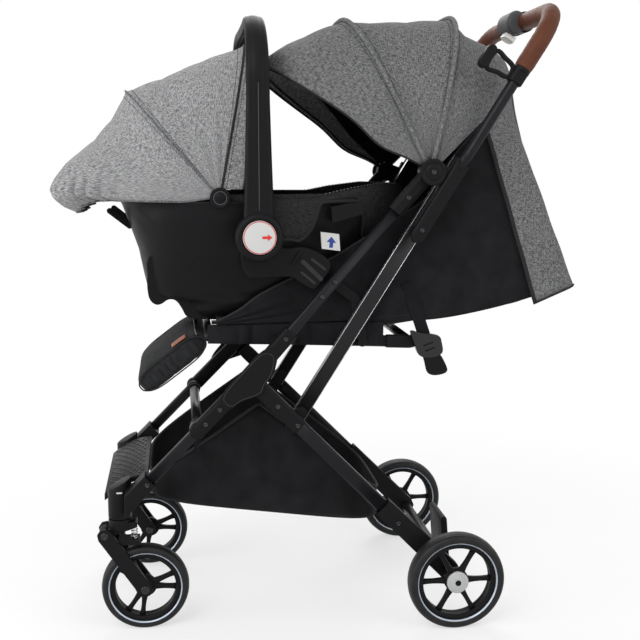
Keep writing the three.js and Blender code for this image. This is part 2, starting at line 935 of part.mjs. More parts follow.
// Rear legs
function rearLeg() {
  const seam = local(kneePin, rearLegRun, rearSeamAlong);
  const start = local(kneePin, rearLegRun, rearLegEndWidth / 2 + kneePinRadius);
  const tube = ovalTube(start, seam, rearLegWidth, legThick, legX);
  const eye = sidePlate(
    barOutline(kneePin, local(start, rearLegRun, rearLegWidth / 2), rearLegEndWidth),
    legInX,
    legOutX,
  );
  const bore = sideDisc(...kneePin, kneePinRadius + runGap, legInX - overrun, legOutX + overrun);
  const bolt = sideDisc(...strutPin, boltHeadRadius, legX, legOutX + boltHeadHeight);
  return join(tube, eye, bolt).subtract(bore);
}

function rearFoot() {
  const seam = local(kneePin, rearLegRun, rearSeamAlong);
  const mouth = local(seam, rearLegRun, -rearFootWidth / 2);
  const inX = legX - rearFootThick / 2;
  const outX = legX + rearFootThick / 2;
  const body = sidePlate(barOutline(mouth, rearAxle, rearFootWidth, rearFootEndWidth), inX, outX);
  const square = local(seam, rearLegRun, -rearFootWidth / 3);
  const trim = ovalTube(
    local(square, rearLegRun, -2 * overrun),
    square,
    rearFootWidth + overrun,
    rearFootThick + overrun,
    legX,
  );
  const pocket = ovalTube(
    local(square, rearLegRun, -overrun),
    local(seam, rearLegRun, seatGap),
    rearLegWidth + 2 * seatGap,
    legThick + 2 * seatGap,
    legX,
  );
  const outer = rearTrackHalf + hubLength / 2;
  const stub = sideDisc(...rearAxle, axleRadius, outX - fittingWall, outer + fittingWall);
  const shoulder = sideDisc(
    ...rearAxle, axleShoulderRadius, outX - fittingWall, rearTrackHalf - hubLength / 2 - runGap,
  );
  return join(body.subtract(trim).subtract(pocket), shoulder, stub);
}

function crossAxle() {
  const half = legX - rearFootThick / 2 - seatGap;
  return sideDisc(...rearAxle, rearAxleTubeRadius, -half, half, ringSides);
}

function brakePedal() {
  const low = pedalX - pedalWidth / 2;
  const high = pedalX + pedalWidth / 2;
  const ring = sideDisc(...rearAxle, pedalRingRadius, low, high, ringSides);
  const tip = [rearAxleY - pedalLean, rearAxleZ + pedalReach];
  const arm = sidePlate(barOutline(rearAxle, tip, pedalThick), low, high);
  const bore = sideDisc(
    ...rearAxle, rearAxleTubeRadius + runGap, low - overrun, high + overrun, ringSides,
  );
  return join(ring, arm).subtract(bore);
}

// Crossbar, footboard and basket
function frontCrossbar() {
  const half = legInX - fittingWall - seatGap;
  return sideDisc(crossbarY, crossbarZ, crossbarRadius, -half, half);
}

function footboard() {
  const top = [];
  const bottom = [];
  for (let k = 0; k <= boardSteps; k += 1) {
    const share = k / boardSteps;
    const y = blend(boardFrontY, boardRearY, share);
    const z = blend(boardFrontZ, boardRearZ, share) + boardBulge * Math.sin(Math.PI * share);
    top.push([y, z]);
    bottom.push([y, z - boardThick * (1 - boardTaperShare * share)]);
  }
  const half = casterX - boardTuck;
  const board = sidePlate([...bottom, ...top.reverse()], -half, half);
  const clear = [-1, 1].map((side) =>
    upright(side * casterX, swivelY, 0, hubZ, swivelRadius + seatGap),
  );
  return clear.reduce((all, next) => all.subtract(next), board);
}

// A loop seen from above: rounder than a box, narrower towards the rear by the taper's share
function planLoop(frontY, rearY, halfWidth, taperShare, squareness, count, heightAt) {
  const ring = [];
  const power = 2 / squareness;
  const bend = (v) => Math.sign(v) * Math.abs(v) ** power;
  for (let k = 0; k < count; k += 1) {
    const turn = (2 * Math.PI * k) / count;
    const s = bend(Math.sin(turn));
    const y = (frontY + rearY) / 2 + ((rearY - frontY) / 2) * s;
    const x = halfWidth * bend(Math.cos(turn)) * (1 - taperShare * s);
    ring.push(point(x, y, heightAt(y)));
  }
  return ring;
}

// The webbing loop that hangs the basket on the crossbar
function basketLoop() {
  const inner = crossbarRadius + seatGap;
  const outer = inner + loopThick;
  const ring = sideDisc(crossbarY, crossbarZ, outer, loopLowX, loopHighX);
  const tail = box(
    loopHighX - basketWall,
    loopHighX,
    crossbarY - outer / 2,
    crossbarY + outer / 2,
    loopTailZ,
    crossbarZ,
  );
  const bore = sideDisc(crossbarY, crossbarZ, inner, loopLowX - overrun, loopHighX + overrun);
  return join(ring, tail).subtract(bore);
}

function basket() {
  const slope = (y) => (y - basketFrontY) / (basketRearY - basketFrontY);
  const floorAt = (y) => blend(basketFloorFrontZ, basketFloorRearZ, slope(y));
  const brimAt = (y) => {
    const front = y < basketApexY;
    const share = front
      ? (y - basketFrontY) / (basketApexY - basketFrontY)
      : (basketRearY - y) / (basketRearY - basketApexY);
    return blend(front ? basketFrontZ : basketRearZ, basketApexZ, Math.max(share, 0));
  };
  const stack = (inset, lift) =>
    basketLevelShares.map((level, i) =>
      planLoop(
        basketFrontY + inset,
        basketRearY - inset,
        (basketHalfWidth - inset) * basketWidthShares[i],
        0,
        basketSquareness,
        basketSides,
        (y) => blend(floorAt(y) + lift, brimAt(y), level),
      ),
    );
  const bag = skin([...stack(0, 0), ...stack(basketWall, basketWall).reverse()]);
  const tab = box(tabInX, legInX - seatGap, tabFrontY, tabRearY, tabLowZ, tabHighZ);
  const side = join(basketLoop(), tab);
  return join(bag, side, mirror(side));
}

// Seat
function seatFrame() {
  const front = [seatFrontY, seatFrontZ];
  const rear = [seatRearY, seatRearZ];
  const railZ = (y) => blend(seatFrontZ, seatRearZ, (y - seatFrontY) / (seatRearY - seatFrontY));
  const rails = [-1, 1].map((side) =>
    ovalTube(front, rear, seatRailHeight, seatRailThick, side * seatRailX),
  );
  const frontBar = sideDisc(...front, seatBarRadius, -seatRailX, seatRailX, tubeSides);
  const rearBar = sideDisc(...rear, seatBarRadius, -seatRailX, seatRailX, tubeSides);
  const slatZ = shellBottomZ - seatPadThick - 2 * seatGap - seatBarRadius;
  const slat = sideDisc(slatY, slatZ, seatBarRadius, -seatRailX, seatRailX);
  const backBar = sideDisc(backPivotY, backPivotZ, backBarRadius, -backLugLowX, backLugLowX);
  const boss = local(knee, upperLegRun, kneeUpperReach / 2);
  const bossOut = legInX - fittingWall - seatGap;
  const linkIn = railX - railThick / 2 - seatLinkThick - runGap;
  const linkTop = [seatLinkTopY, seatLinkTopZ];
  const linkPivot = [seatLinkPivotY, seatLinkPivotZ];
  const linkFootZ = railZ(seatLinkFootY);
  const [railInX, railOutX] = [seatRailX - seatRailThick / 2, seatRailX + seatRailThick / 2];
  const upFromRail = (y, z, width, low, high) =>
    sidePlate(barOutline([y, railZ(y)], [y, z], width), low, high);
  const sidePieces = [
    upFromRail(backPivotY, backPivotZ, backLugWidth, backLugLowX, backLugHighX),
    upFromRail(slatY, slatZ, 2 * seatBarRadius, railInX, railOutX),
    sideDisc(boss[0], railZ(boss[0]), seatBarRadius, seatRailX, bossOut),
    sidePlate(barOutline(linkTop, linkPivot, seatLinkWidth), linkIn, linkIn + seatLinkThick),
    sidePlate(
      barOutline(linkPivot, [seatLinkFootY, linkFootZ], seatLinkWidth), linkIn, linkIn + seatLinkThick,
    ),
    sideDisc(seatLinkFootY, linkFootZ, seatBarRadius, seatRailX, linkIn + seatLinkThick / 2),
    sideDisc(...linkTop, seatLinkWidth / 3, linkIn, legInX - seatGap),
  ];
  const sides = join(...sidePieces);
  return join(...rails, frontBar, rearBar, slat, backBar, sides, mirror(sides));
}

// A crowned pad: rings along its length, drawn in at the ends and sides
function pad(lengthRun, startPoint, length, halfWidth, thick, channels) {
  const [dy, dz] = lengthRun;
  const rings = [];
  for (let i = 0; i <= padRows; i += 1) {
    const share = i / padRows;
    const end = Math.abs(2 * share - 1) ** 6;
    const width = halfWidth * (1 - padNarrowShare * end);
    const dip = 1 - padChannelShare * Math.abs(Math.cos(Math.PI * channels * share)) ** 12;
    const half = (thick / 2) * (1 - padThinShare * end) * dip;
    const y = startPoint[0] + dy * length * share;
    const z = startPoint[1] + dz * length * share;
    const ring = [];
    for (let k = 0; k < padSides; k += 1) {
      const turn = (2 * Math.PI * k) / padSides;
      const c = Math.sign(Math.cos(turn)) * Math.abs(Math.cos(turn)) ** 0.5;
      const s = Math.sign(Math.sin(turn)) * Math.abs(Math.sin(turn)) ** 0.7;
      ring.push(point(width * c, y - dz * half * s, z + dy * half * s));
    }
    rings.push(ring);
  }
  return skin(rings);
}

function seatPad() {
  const start = [seatPadFrontY, shellBottomZ - seatGap - seatPadThick / 2];
  return pad(direction(0), start, seatPadRearY - seatPadFrontY, seatHalfWidth, seatPadThick, 3);
}

function backrest() {
  const run = direction(backSlopeDegrees);
  const start = local([backPivotY, backPivotZ], run, backBarRadius + seatGap);
  return pad(run, start, backLength, seatHalfWidth, backThick, 4);
}

function legrest() {
  const run = direction(legrestSlopeDegrees);
  const start = local([seatFrontY, seatFrontZ], run, seatBarRadius + seatGap);
  return pad(run, start, legrestLength, legrestHalfWidth, legrestThick, 3);
}

// Side fabric and rear panel
function sideFabric() {
  const outline = [
    [sideFrontY, sideFrontZ],
    [sideLowY, sideLowZ],
    [blend(sideLowY, sideRearLowY, 0.5), sideLowZ + backThick / 5],
    [sideRearLowY, sideRearLowZ],
    [sideHemY, sideHemZ],
    [blend(sideHemY, sideRearTopY, 0.55), blend(sideHemZ, sideRearTopZ, 0.5)],
    [sideRearTopY, sideRearTopZ],
    [sideTopY, sideTopZ],
    [blend(sideTopY, sideFrontY, 0.5), blend(sideTopZ, sideFrontZ, 0.42)],
  ];
  return sidePlate(outline, sideFabricX, sideFabricX + sideFabricThick);
}

function rearPanel() {
  const levels = 8;
  const corner = 4;
  const section = (share, inset) => {
    const rearY = blend(panelTopY, panelBottomY, share) - inset;
    const z = blend(panelTopZ, panelBottomZ, share);
    const back = blend(panelReturnTop, panelReturnBottom, share);
    const half = panelHalfWidth - inset;
    const radius = panelCorner - inset;
    const row = [point(half, rearY + inset - back, z)];
    for (let k = 0; k <= corner; k += 1) {
      const turn = (Math.PI / 2) * (k / corner);
      row.push(
        point(
          half - radius + radius * Math.cos(turn),
          rearY - radius + radius * Math.sin(turn),
          z,
        ),
      );
    }
    const left = row.map((p) => point(-p.x, p.y, p.z)).reverse();
    return [...row, point(0, rearY, z), ...left];
  };
  const grid = (inset) => {
    const rows = [];
    for (let i = 0; i <= levels; i += 1) rows.push(section(i / levels, inset));
    return rows;
  };
  return sheet(grid(0), grid(panelWall));
}

// Handle
function handleRail() {
  const top = alongHandle(railTopAlong + guideHalfLength);
  const reach = Math.hypot(strutPin[0] - railFootpoint[0], strutPin[1] - railFootpoint[1]);
  const low = alongHandle(-reach);
  const end = alongHandle(-reach - railWidth / 3);
  const body = ovalTube(low, top, railWidth, railThick, railX);
  const tip = sidePlate(
    barOutline(low, end, railEndWidth), railX - railThick / 2, railX + railThick / 2,
  );
  return join(body, tip);
}

function handleGuide() {
  const inX = legOutX + fittingWall + seatGap;
  const outX = inX + guideDiscThick;
  const disc = sideDisc(...hub, guideDiscRadius, inX, outX, ringSides);
  const webThick = handleX - handleTubeRadius - seatGap - inX;
  const half = railWidth / 2 + guideWall;
  const web = sidePlate(
    [
      local(hub, handleRun, guideDiscRadius * guideWebShare),
      local(hub, handleRun, -guideDiscRadius * guideWebShare),
      alongHandle(-guideHalfLength, half * guideWebShare),
      alongHandle(guideHalfLength, half * guideWebShare),
    ],
    inX,
    inX + webThick,
  );
  const blockLow = railX - railThick / 2 - guideWall + runGap;
  const block = sidePlate(
    [
      alongHandle(-guideHalfLength, -half),
      alongHandle(-guideHalfLength, half),
      alongHandle(guideHalfLength, half),
      alongHandle(guideHalfLength, -half),
    ],
    blockLow,
    inX + webThick,
  );
  const channel = ovalTube(
    alongHandle(-guideHalfLength - overrun),
    alongHandle(guideHalfLength + overrun),
    railWidth + 2 * runGap,
    railThick + 2 * runGap,
    railX,
  );
  const bore = sideDisc(...hub, hubBoltRadius + runGap, inX - overrun, outX + overrun);
  return join(disc, web, block).subtract(channel).subtract(bore);
}

function handleSleeve() {
  const top = alongHandle(sleeveTopAlong);
  const low = alongHandle(sleeveTopAlong - sleeveLength);
  const inX = handleX - sleeveThick / 2;
  const tube = ovalTube(low, top, sleeveWidth, sleeveThick, handleX);
  const foot = alongHandle(sleeveTopAlong - sleeveLength - runGap);
  const tip = sidePlate(barOutline(low, foot, sleeveWidth), inX, inX + sleeveThick);
  const spacer = sideDisc(
    ...alongHandle(sleevePinAlong), boltHeadRadius, railX + railThick / 2 + seatGap, inX + fittingWall,
  );
  return join(tube, tip).subtract(plugSocket()).add(spacer);
}

// The handle tube's narrow lower end, widened by the seat's clearance
function plugSocket() {
  const low = alongHandle(sleeveTopAlong - overrun - seatGap);
  const high = alongHandle(sleeveTopAlong + overrun);
  const centres = [low, high].map(([y, z]) => point(handleX, y, z));
  const across = point(1, 0, 0);
  return roundTube(centres, across, handlePlugRadius + seatGap, tubeSides);
}

// The U of the handle, as a chain of points from the left end to the right end
function handlePath(startAlong) {
  const lift = (x, along) => {
    const [y, z] = alongHandle(along);
    return point(x, y, z);
  };
  const steps = 5;
  const side = [lift(handleX, startAlong)];
  for (let k = 0; k <= steps; k += 1) {
    const turn = (Math.PI / 2) * (k / steps);
    side.push(
      lift(
        handleX - handleCornerRadius * (1 - Math.cos(turn)),
        handleBarAlong - handleCornerRadius * (1 - Math.sin(turn)),
      ),
    );
  }
  const other = side.map((p) => point(-p.x, p.y, p.z)).reverse();
  return [...side, ...other];
}

const handleNormal = point(0, handleRun[1], -handleRun[0]);

function pushHandle() {
  const tube = roundTube(
    handlePath(sleeveTopAlong + seatGap * 2), handleNormal, handleTubeRadius, tubeSides,
  );
  const ends = [-1, 1].map((side) => {
    const [low, high] = [sleeveTopAlong - overrun, sleeveTopAlong + overrun].map((along) => {
      const [y, z] = alongHandle(along);
      return point(side * handleX, y, z);
    });
    return roundTube([low, high], point(1, 0, 0), handlePlugRadius, tubeSides);
  });
  return join(tube, ...ends, bracket(), mirror(bracket()));
}

// The collar and slotted arm that hold the canopy's rear edge
function bracket() {
  const middle = alongHandle(collarAlong);
  const low = alongHandle(collarAlong - collarLength / 2);
  const high = alongHandle(collarAlong + collarLength / 2);
  const collar = ovalTube(low, high, collarWidth, collarThick, handleX);
  const tip = local(middle, handleRun, 0, -bracketReach);
  const arm = sidePlate(
    barOutline(middle, tip, bracketWidth), handleX - bracketThick / 2, handleX + bracketThick / 2,
  );
  const slot = sidePlate(
    barOutline(
      local(middle, handleRun, 0, -slotStart),
      local(middle, handleRun, 0, -slotEnd),
      slotWidth,
    ),
    handleX - overrun,
    handleX + overrun,
  );
  const knob = sideDisc(...tip, bracketKnobRadius, handleX - bracketThick, handleX + bracketThick);
  return join(collar, arm.subtract(slot), knob);
}

function gripTube() {
  const path = handlePath(gripStartAlong);
  const outer = roundTube(path, handleNormal, gripRadius, gripSides);
  const longer = handlePath(gripStartAlong - overrun);
  const bore = roundTube(longer, handleNormal, handleTubeRadius + seatGap * 2, tubeSides);
  return outer.subtract(bore);
}

const barCentre = alongHandle(handleBarAlong);

function ovalOutline([y, z], halfDepth, halfHeight, count) {
  const outline = [];
  for (let k = 0; k < count; k += 1) {
    const turn = (2 * Math.PI * k) / count;
    outline.push([y + halfDepth * Math.cos(turn), z + halfHeight * Math.sin(turn)]);
  }
  return outline;
}

function roundBar(radius) {
  const half = housingHalfWidth + overrun;
  const centres = [point(half, ...barCentre), point(-half, ...barCentre)];
  return roundTube(centres, handleNormal, radius, gripSides);
}

// A block under the bar, as the button and its pocket need it, from its foot up to a height
function underBar(topAlong, gap) {
  const foot = -housingHalfHeight - buttonShow;
  return ovalTube(
    local(barCentre, handleRun, foot - gap),
    local(barCentre, handleRun, topAlong),
    buttonDepth + 2 * gap,
    2 * buttonHalfWidth + 2 * gap,
    0,
  );
}

function buttonHousing() {
  const outline = ovalOutline(barCentre, housingHalfDepth, housingHalfHeight, housingSides);
  return sidePlate(outline, -housingHalfWidth, housingHalfWidth)
    .subtract(roundBar(gripRadius + seatGap))
    .subtract(underBar(0, runGap));
}

function foldButton() {
  const top = buttonHeight - housingHalfHeight - buttonShow;
  return underBar(top, 0).subtract(roundBar(gripRadius + buttonTravel + runGap));
}

const archesOf = (shares, reach) =>
  shares.map(([degrees, share]) => ({ degrees, reach: reach * share }));

const canopyArches = archesOf(canopyArchShares, canopyReach);
const hoodArches = archesOf(hoodArchShares, hoodReach);

// Arches: a base beside the pivot, rising to the arch's reach over the middle
function archRow([y, z], degrees, reach, base, halfWidth) {
  const [dy, dz] = direction(degrees);
  const power = 2 / archSquareness;
  const row = [];
  for (let k = 0; k <= archSteps; k += 1) {
    const turn = (Math.PI * k) / archSteps;
    const c = Math.sign(Math.cos(turn)) * Math.abs(Math.cos(turn)) ** power;
    const s = Math.abs(Math.sin(turn)) ** power;
    const r = base + (reach - base) * s;
    row.push(point(halfWidth * c, y + dy * r, z + dz * r));
  }
  return row;
}

function canopy() {
  const rows = (inset) =>
    canopyArches.map(({ degrees, reach }) =>
      archRow(hub, degrees, reach - inset, canopyBaseRadius, canopyHalfWidth - inset),
    );
  return sheet(rows(0), rows(canopyWall));
}

function bow(pivot, degrees, reach, base, halfWidth) {
  const row = archRow(pivot, degrees, reach, base, halfWidth);
  const normal = point(0, -direction(degrees)[1], direction(degrees)[0]);
  return skin(tubeRings(row, normal, bowThick / 2, bowWidth / 2, bowSides));
}

// Where a line from the pivot meets the straight run of fabric between two arches' tops
function fabricReach(degrees, low, high) {
  const share = (degrees - low.degrees) / (high.degrees - low.degrees);
  const [ly, lz] = direction(low.degrees);
  const [hy, hz] = direction(high.degrees);
  const y = blend(ly * low.reach, hy * high.reach, share);
  const z = blend(lz * low.reach, hz * high.reach, share);
  return Math.hypot(y, z);
}

// The snap-on collar by which a bow turns on the hub fitting's disc
function bowCollar(centreX) {
  const inner = (hubFittingRadius + runGap) / Math.cos(Math.PI / ringSides);
  const arc = (radius) => {
    const points = [];
    for (let k = 0; k <= bowCollarSteps; k += 1) {
      const turn = blend(bowCollarHighDegrees, bowCollarLowDegrees, k / bowCollarSteps);
      points.push(local(hub, direction(turn), radius));
    }
    return points;
  };
  const outline = [...arc(inner), ...arc(bowCollarRadius).reverse()];
  return sidePlate(outline, centreX - bowCollarWidth / 2, centreX + bowCollarWidth / 2);
}

function canopyBow(degrees, low, high, centreX) {
  const inset = canopyWall + bowGap + bowThick / 2;
  const reach = fabricReach(degrees, low, high) - inset;
  const collar = bowCollar(centreX);
  return join(bow(hub, degrees, reach, bowBaseRadius, centreX), collar, mirror(collar));
}

// Carrier
function shellRing(level, inset, lift) {
  const grow = (bottom, top) => blend(bottom, top, level.bulge);
  const z = blend(shellBottomZ, rimZ, level.share);
  return planLoop(
    grow(shellBottomFrontY, rimFrontY) + inset,
    grow(shellBottomRearY, rimRearY) - inset,
    grow(shellBottomHalfWidth, rimHalfWidth) - inset,
    shellTaperShare,
    shellSquareness,
    shellSides,
    () => z + lift * (1 - level.share),
  );
}

function carrierShell() {
  const outer = shellLevels.map((level) => shellRing(level, 0, 0));
  const inner = shellLevels.map((level) => shellRing(level, shellWall, shellWall));
  const hollow = skin(inner);
  const cup = skin([...outer, ...inner.reverse()]);
  const boss = sideDisc(
    carrierHubY, carrierHubZ, carrierBossRadius, bossInX, carrierHubX - seatGap,
  );
  const pin = sideDisc(
    carrierHubY,
    carrierHubZ,
    carrierPinRadius,
    carrierHubX - fittingWall,
    carrierHubX + carrierHubThick / 2,
  );
  const guard = sidePlate(
    [
      [guardTopY, guardTopZ],
      [guardTopY, blend(guardLowZ, guardTopZ, 0.2)],
      [blend(guardTopY, guardRearY, 0.55), blend(guardLowZ, guardTopZ, 0.12)],
      [blend(guardTopY, guardRearY, 0.85), guardLowZ - 2 * fittingWall],
      [guardRearY, blend(guardLowZ, guardTopZ, 0.25)],
      [blend(guardTopY, guardRearY, 0.75), blend(guardLowZ, guardTopZ, 0.75)],
    ],
    guardInX,
    guardOuterX,
  );
  const ear = box(
    hoodEarInX, hoodEarInX + hoodEarThick,
    hoodPivotY - hoodEarWidth / 2, hoodPivotY + hoodEarWidth / 2, rimZ - hoodEarWidth / 2, hoodEarZ,
  );
  const knobX = hoodHalfWidth + seatGap;
  const stud = sideDisc(...hoodPivot, hoodStudRadius, hoodEarInX, knobX);
  const knob = sideDisc(...hoodPivot, hoodKnobRadius, knobX, knobX + hoodKnobThick);
  const side = join(boss, pin, guard, ear, stud, knob);
  return join(cup, side.subtract(hollow), mirror(side).subtract(hollow));
}

function carrierLiner() {
  const gap = shellWall + seatGap * 2;
  const rise = shellLevels.map((level) => shellRing(level, gap, gap));
  const raised = rise[rise.length - 1].map((p) => point(p.x, p.y, p.z + linerRise));
  const innerGap = gap + linerThick;
  const inside = shellLevels.map((level) => shellRing(level, innerGap, innerGap));
  const raisedInside = inside[inside.length - 1].map((p) => point(p.x, p.y, p.z + linerRise));
  return skin([...rise, raised, raisedInside, ...inside.reverse()]);
}

function carrierHandle() {
  const steps = 5;
  const path = [point(carrierHandleX, carrierHubY, carrierHubZ)];
  const straightZ = blend(carrierHubZ, carrierHandleTopZ, carrierArmStraightShare);
  path.push(point(carrierHandleX, carrierHubY, straightZ));
  for (let k = 0; k <= steps; k += 1) {
    const turn = (Math.PI / 2) * (k / steps);
    path.push(
      point(
        carrierHandleX - carrierHandleCorner * (1 - Math.cos(turn)),
        carrierHubY,
        carrierHandleTopZ - carrierHandleCorner * (1 - Math.sin(turn)),
      ),
    );
  }
  const whole = [...path, ...path.map((p) => point(-p.x, p.y, p.z)).reverse()];
  const normal = point(0, 1, 0);
  const rings = whole.map((centre, i) => {
    const share = Math.min(i, whole.length - 1 - i) / (path.length - 1);
    const taper = Math.min(share / carrierArmTaperShare, 1);
    const width = blend(carrierArmWideWidth, carrierArmNarrowWidth, taper);
    const before = whole[Math.max(i - 1, 0)];
    const after = whole[Math.min(i + 1, whole.length - 1)];
    const side = after.clone().sub(before).normalize().cross(normal);
    const ring = [];
    for (let k = 0; k < carrierArmSides; k += 1) {
      const turn = (2 * Math.PI * (k + 0.5)) / carrierArmSides;
      const c = Math.sign(Math.cos(turn)) * Math.abs(Math.cos(turn)) ** 0.7;
      const s = Math.sign(Math.sin(turn)) * Math.abs(Math.sin(turn)) ** 0.7;
      ring.push(
        centre
          .clone()
          .addScaledVector(side, (carrierArmThick / 2) * c)
          .addScaledVector(normal, (width / 2) * s),
      );
    }
    return ring;
  });
  const outX = carrierHubX + carrierHubThick;
  const hubDisc = sideDisc(carrierHubY, carrierHubZ, carrierHubRadius, carrierHubX, outX, ringSides);
  const bore = sideDisc(
    carrierHubY, carrierHubZ, carrierPinRadius + runGap, carrierHubX - overrun, outX - labelThick,
  );
  const recess = sideDisc(
    carrierHubY,
    carrierHubZ,
    labelRadius + runGap,
    outX - labelThick - labelTravel,
    outX + overrun,
    ringSides,
  );
  const cut = join(bore, recess);
  return join(skin(rings), hubDisc, mirror(hubDisc)).subtract(cut).subtract(mirror(cut));
}

function carrierButton() {
  const outX = carrierHubX + carrierHubThick;
  return sideDisc(
    carrierHubY, carrierHubZ, labelRadius, outX - labelThick + runGap, outX + runGap, ringSides,
  );
}

function carrierHood() {
  const rows = (inset) =>
    hoodArches.map(({ degrees, reach }, i) =>
      archRow(
        hoodPivot, degrees, reach - inset, hoodBaseRadius, (hoodHalfWidth - inset) * hoodWidthShares[i],
      ),
    );
  return sheet(rows(0), rows(hoodWall));
}

function carrierHoodBow() {
  const centreX = hoodEarInX - seatGap - bowThick / 2;
  return bow(hoodPivot, hoodBowDegrees, hoodBowReach, hoodBowBaseRadius, centreX);
}

// Strap, sewn to the left side fabric, with its buckle hanging from it
function strap() {
  const top = [strapTopY, strapTopZ];
  const foot = [strapFootY, strapFootZ];
  const end = local(foot, unit(top, foot), buckleTongue);
  return ovalTube(top, end, strapWidth, strapThick, strapX);
}

function buckle() {
  const foot = [strapFootY, strapFootZ];
  const run = unit([strapTopY, strapTopZ], foot);
  const end = local(foot, run, buckleLength);
  const slot = ovalTube(
    local(foot, run, -overrun),
    local(foot, run, buckleTongue + seatGap),
    strapWidth + 2 * seatGap,
    strapThick + 2 * seatGap,
    strapX,
  );
  return ovalTube(foot, end, buckleWidth, buckleThick, strapX).subtract(slot);
}

function makeCasters() {
  placePair('swivel_housing', swivelHousing(), blackPlastic);
  placePair('caster_yoke', casterYoke(), blackPlastic);
  placePair('caster_fork', casterFork(), blackPlastic);
  placePair('suspension_spring', coilSpring(), steel);
}

function makeFrame() {
  placePair('front_leg', frontLeg(), blackTube);
  placePair('knee_joint', kneeJoint(), blackPlastic);
  placePair('hub_fitting', hubFitting(), blackPlastic);
  placePair('rear_leg', rearLeg(), blackTube);
  placePair('rear_foot', rearFoot(), blackPlastic);
  place('rear_axle', crossAxle(), blackTube);
  place('brake_pedal', brakePedal(), blackPlastic);
  place('front_crossbar', frontCrossbar(), blackTube);
  place('footboard', footboard(), blackPlastic);
  place('basket', basket(), blackFabric);
}

function makeSeat() {
  place('seat_frame', seatFrame(), blackTube);
  place('seat_pad', seatPad(), darkFabric);
  place('backrest', backrest(), darkFabric);
  place('legrest', legrest(), darkFabric);
  placePair('side_fabric', sideFabric(), blackFabric);
  place('rear_panel', rearPanel(), greyFabric);
  place('strap', strap(), blackFabric);
  place('buckle', buckle(), blackPlastic);
}

function makeHandle() {
  placePair('handle_rail', handleRail(), silver);
  placePair('handle_guide', handleGuide(), blackPlastic);
  placePair('handle_sleeve', handleSleeve(), blackPlastic);
  place('push_handle', pushHandle(), blackTube);
  place('handle_grip', gripTube(), leather);
  place('button_housing', buttonHousing(), blackPlastic);
  place('fold_button', foldButton(), palePlastic);
}

function makeCanopy() {
  place('canopy', canopy(), greyFabric);
  const [front, next, middle, after] = canopyArches;
  place('canopy_front_bow', canopyBow(frontBowDegrees, front, next, frontBowX), blackPlastic);
  place(
    'canopy_middle_bow',
    canopyBow(middleBowDegrees, middle, after, middleBowX),
    blackPlastic,
  );
}

function makeCarrier() {
  place('carrier_shell', carrierShell(), blackPlastic);
  place('carrier_liner', carrierLiner(), darkFabric);
  place('carrier_handle', carrierHandle(), blackPlastic);
  placePair('carrier_button', carrierButton(), palePlastic);
  place('carrier_hood', carrierHood(), greyFabric);
  place('carrier_hood_bow', carrierHoodBow(), blackPlastic);
}

makeWheels();
makeCasters();
makeFrame();
makeSeat();
makeHandle();
makeCanopy();
makeCarrier();

export default stroller;
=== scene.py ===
"""Looks of the travel system stroller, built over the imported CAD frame.

Every length is written in millimetres and turned into metres where a mesh is made. The front of the
stroller faces -Y, its left side +X, and +Z is up. Each sub-assembly is a class that shapes its pieces,
finishes them and puts them on the CAD bodies that carry them.
"""

import json
import logging
import math
import sys
from dataclasses import dataclass, field
from enum import Enum
from typing import Optional, Sequence, Union

import bmesh
import bpy
import numpy as np
from mathutils import Matrix, Vector

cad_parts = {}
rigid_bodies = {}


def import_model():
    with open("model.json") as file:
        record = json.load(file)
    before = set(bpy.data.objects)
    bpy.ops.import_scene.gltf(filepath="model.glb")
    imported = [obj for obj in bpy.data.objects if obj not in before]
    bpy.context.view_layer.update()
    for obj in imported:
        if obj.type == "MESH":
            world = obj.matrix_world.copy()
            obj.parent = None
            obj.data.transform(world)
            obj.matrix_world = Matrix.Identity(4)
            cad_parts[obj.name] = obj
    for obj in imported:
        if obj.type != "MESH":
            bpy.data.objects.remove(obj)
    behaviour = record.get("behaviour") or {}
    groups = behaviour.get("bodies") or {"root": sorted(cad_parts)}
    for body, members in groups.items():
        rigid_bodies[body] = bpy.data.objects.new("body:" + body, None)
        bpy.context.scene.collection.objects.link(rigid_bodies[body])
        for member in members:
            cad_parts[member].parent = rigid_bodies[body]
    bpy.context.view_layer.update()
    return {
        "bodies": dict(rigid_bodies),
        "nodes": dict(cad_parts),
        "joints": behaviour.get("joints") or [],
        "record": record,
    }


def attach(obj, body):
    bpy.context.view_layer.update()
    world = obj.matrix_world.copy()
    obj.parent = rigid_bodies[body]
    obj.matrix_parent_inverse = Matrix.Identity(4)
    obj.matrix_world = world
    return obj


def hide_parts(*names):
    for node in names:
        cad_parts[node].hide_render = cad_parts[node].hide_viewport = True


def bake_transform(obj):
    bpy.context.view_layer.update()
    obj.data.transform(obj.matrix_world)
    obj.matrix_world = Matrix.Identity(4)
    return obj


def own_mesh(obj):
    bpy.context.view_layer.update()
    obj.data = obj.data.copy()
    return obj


log = logging.getLogger("stroller")

MM = 0.001
SIDES = ((1, "left"), (-1, "right"))
Object = bpy.types.Object
Socket = bpy.types.NodeSocket
Array = np.ndarray
Pair = tuple[float, float]
Point = tuple[float, float, float]
Mesh = bpy.types.Mesh
Tree = bpy.types.NodeTree
Names = Sequence[str]
Path = Sequence[Sequence[float]]
Value = Union[float, Socket]
Detail = tuple[Socket, Socket, float]

# Shared places of the side view (Y, Z), as in the CAD source
HUB = (181.0, 785.0)
KNEE = (-100.0, 467.0)
LEG_FOOT = (-300.0, 265.7)
KNEE_PIN = (-106.94, 425.97)
STRUT_PIN = (-48.12, 357.58)
CROSSBAR = (-211.0, 357.0)
REAR_AXLE = (229.0, 84.273)
FRONT_AXLE = (-305.0, 74.358)
HANDLE_RUN = (0.53483, 0.84496)
HANDLE_BASE = (210.57, 766.28)
CARRIER_HUB = (-107.0, 681.5)
HOOD_PIVOT = (-168.0, 744.0)
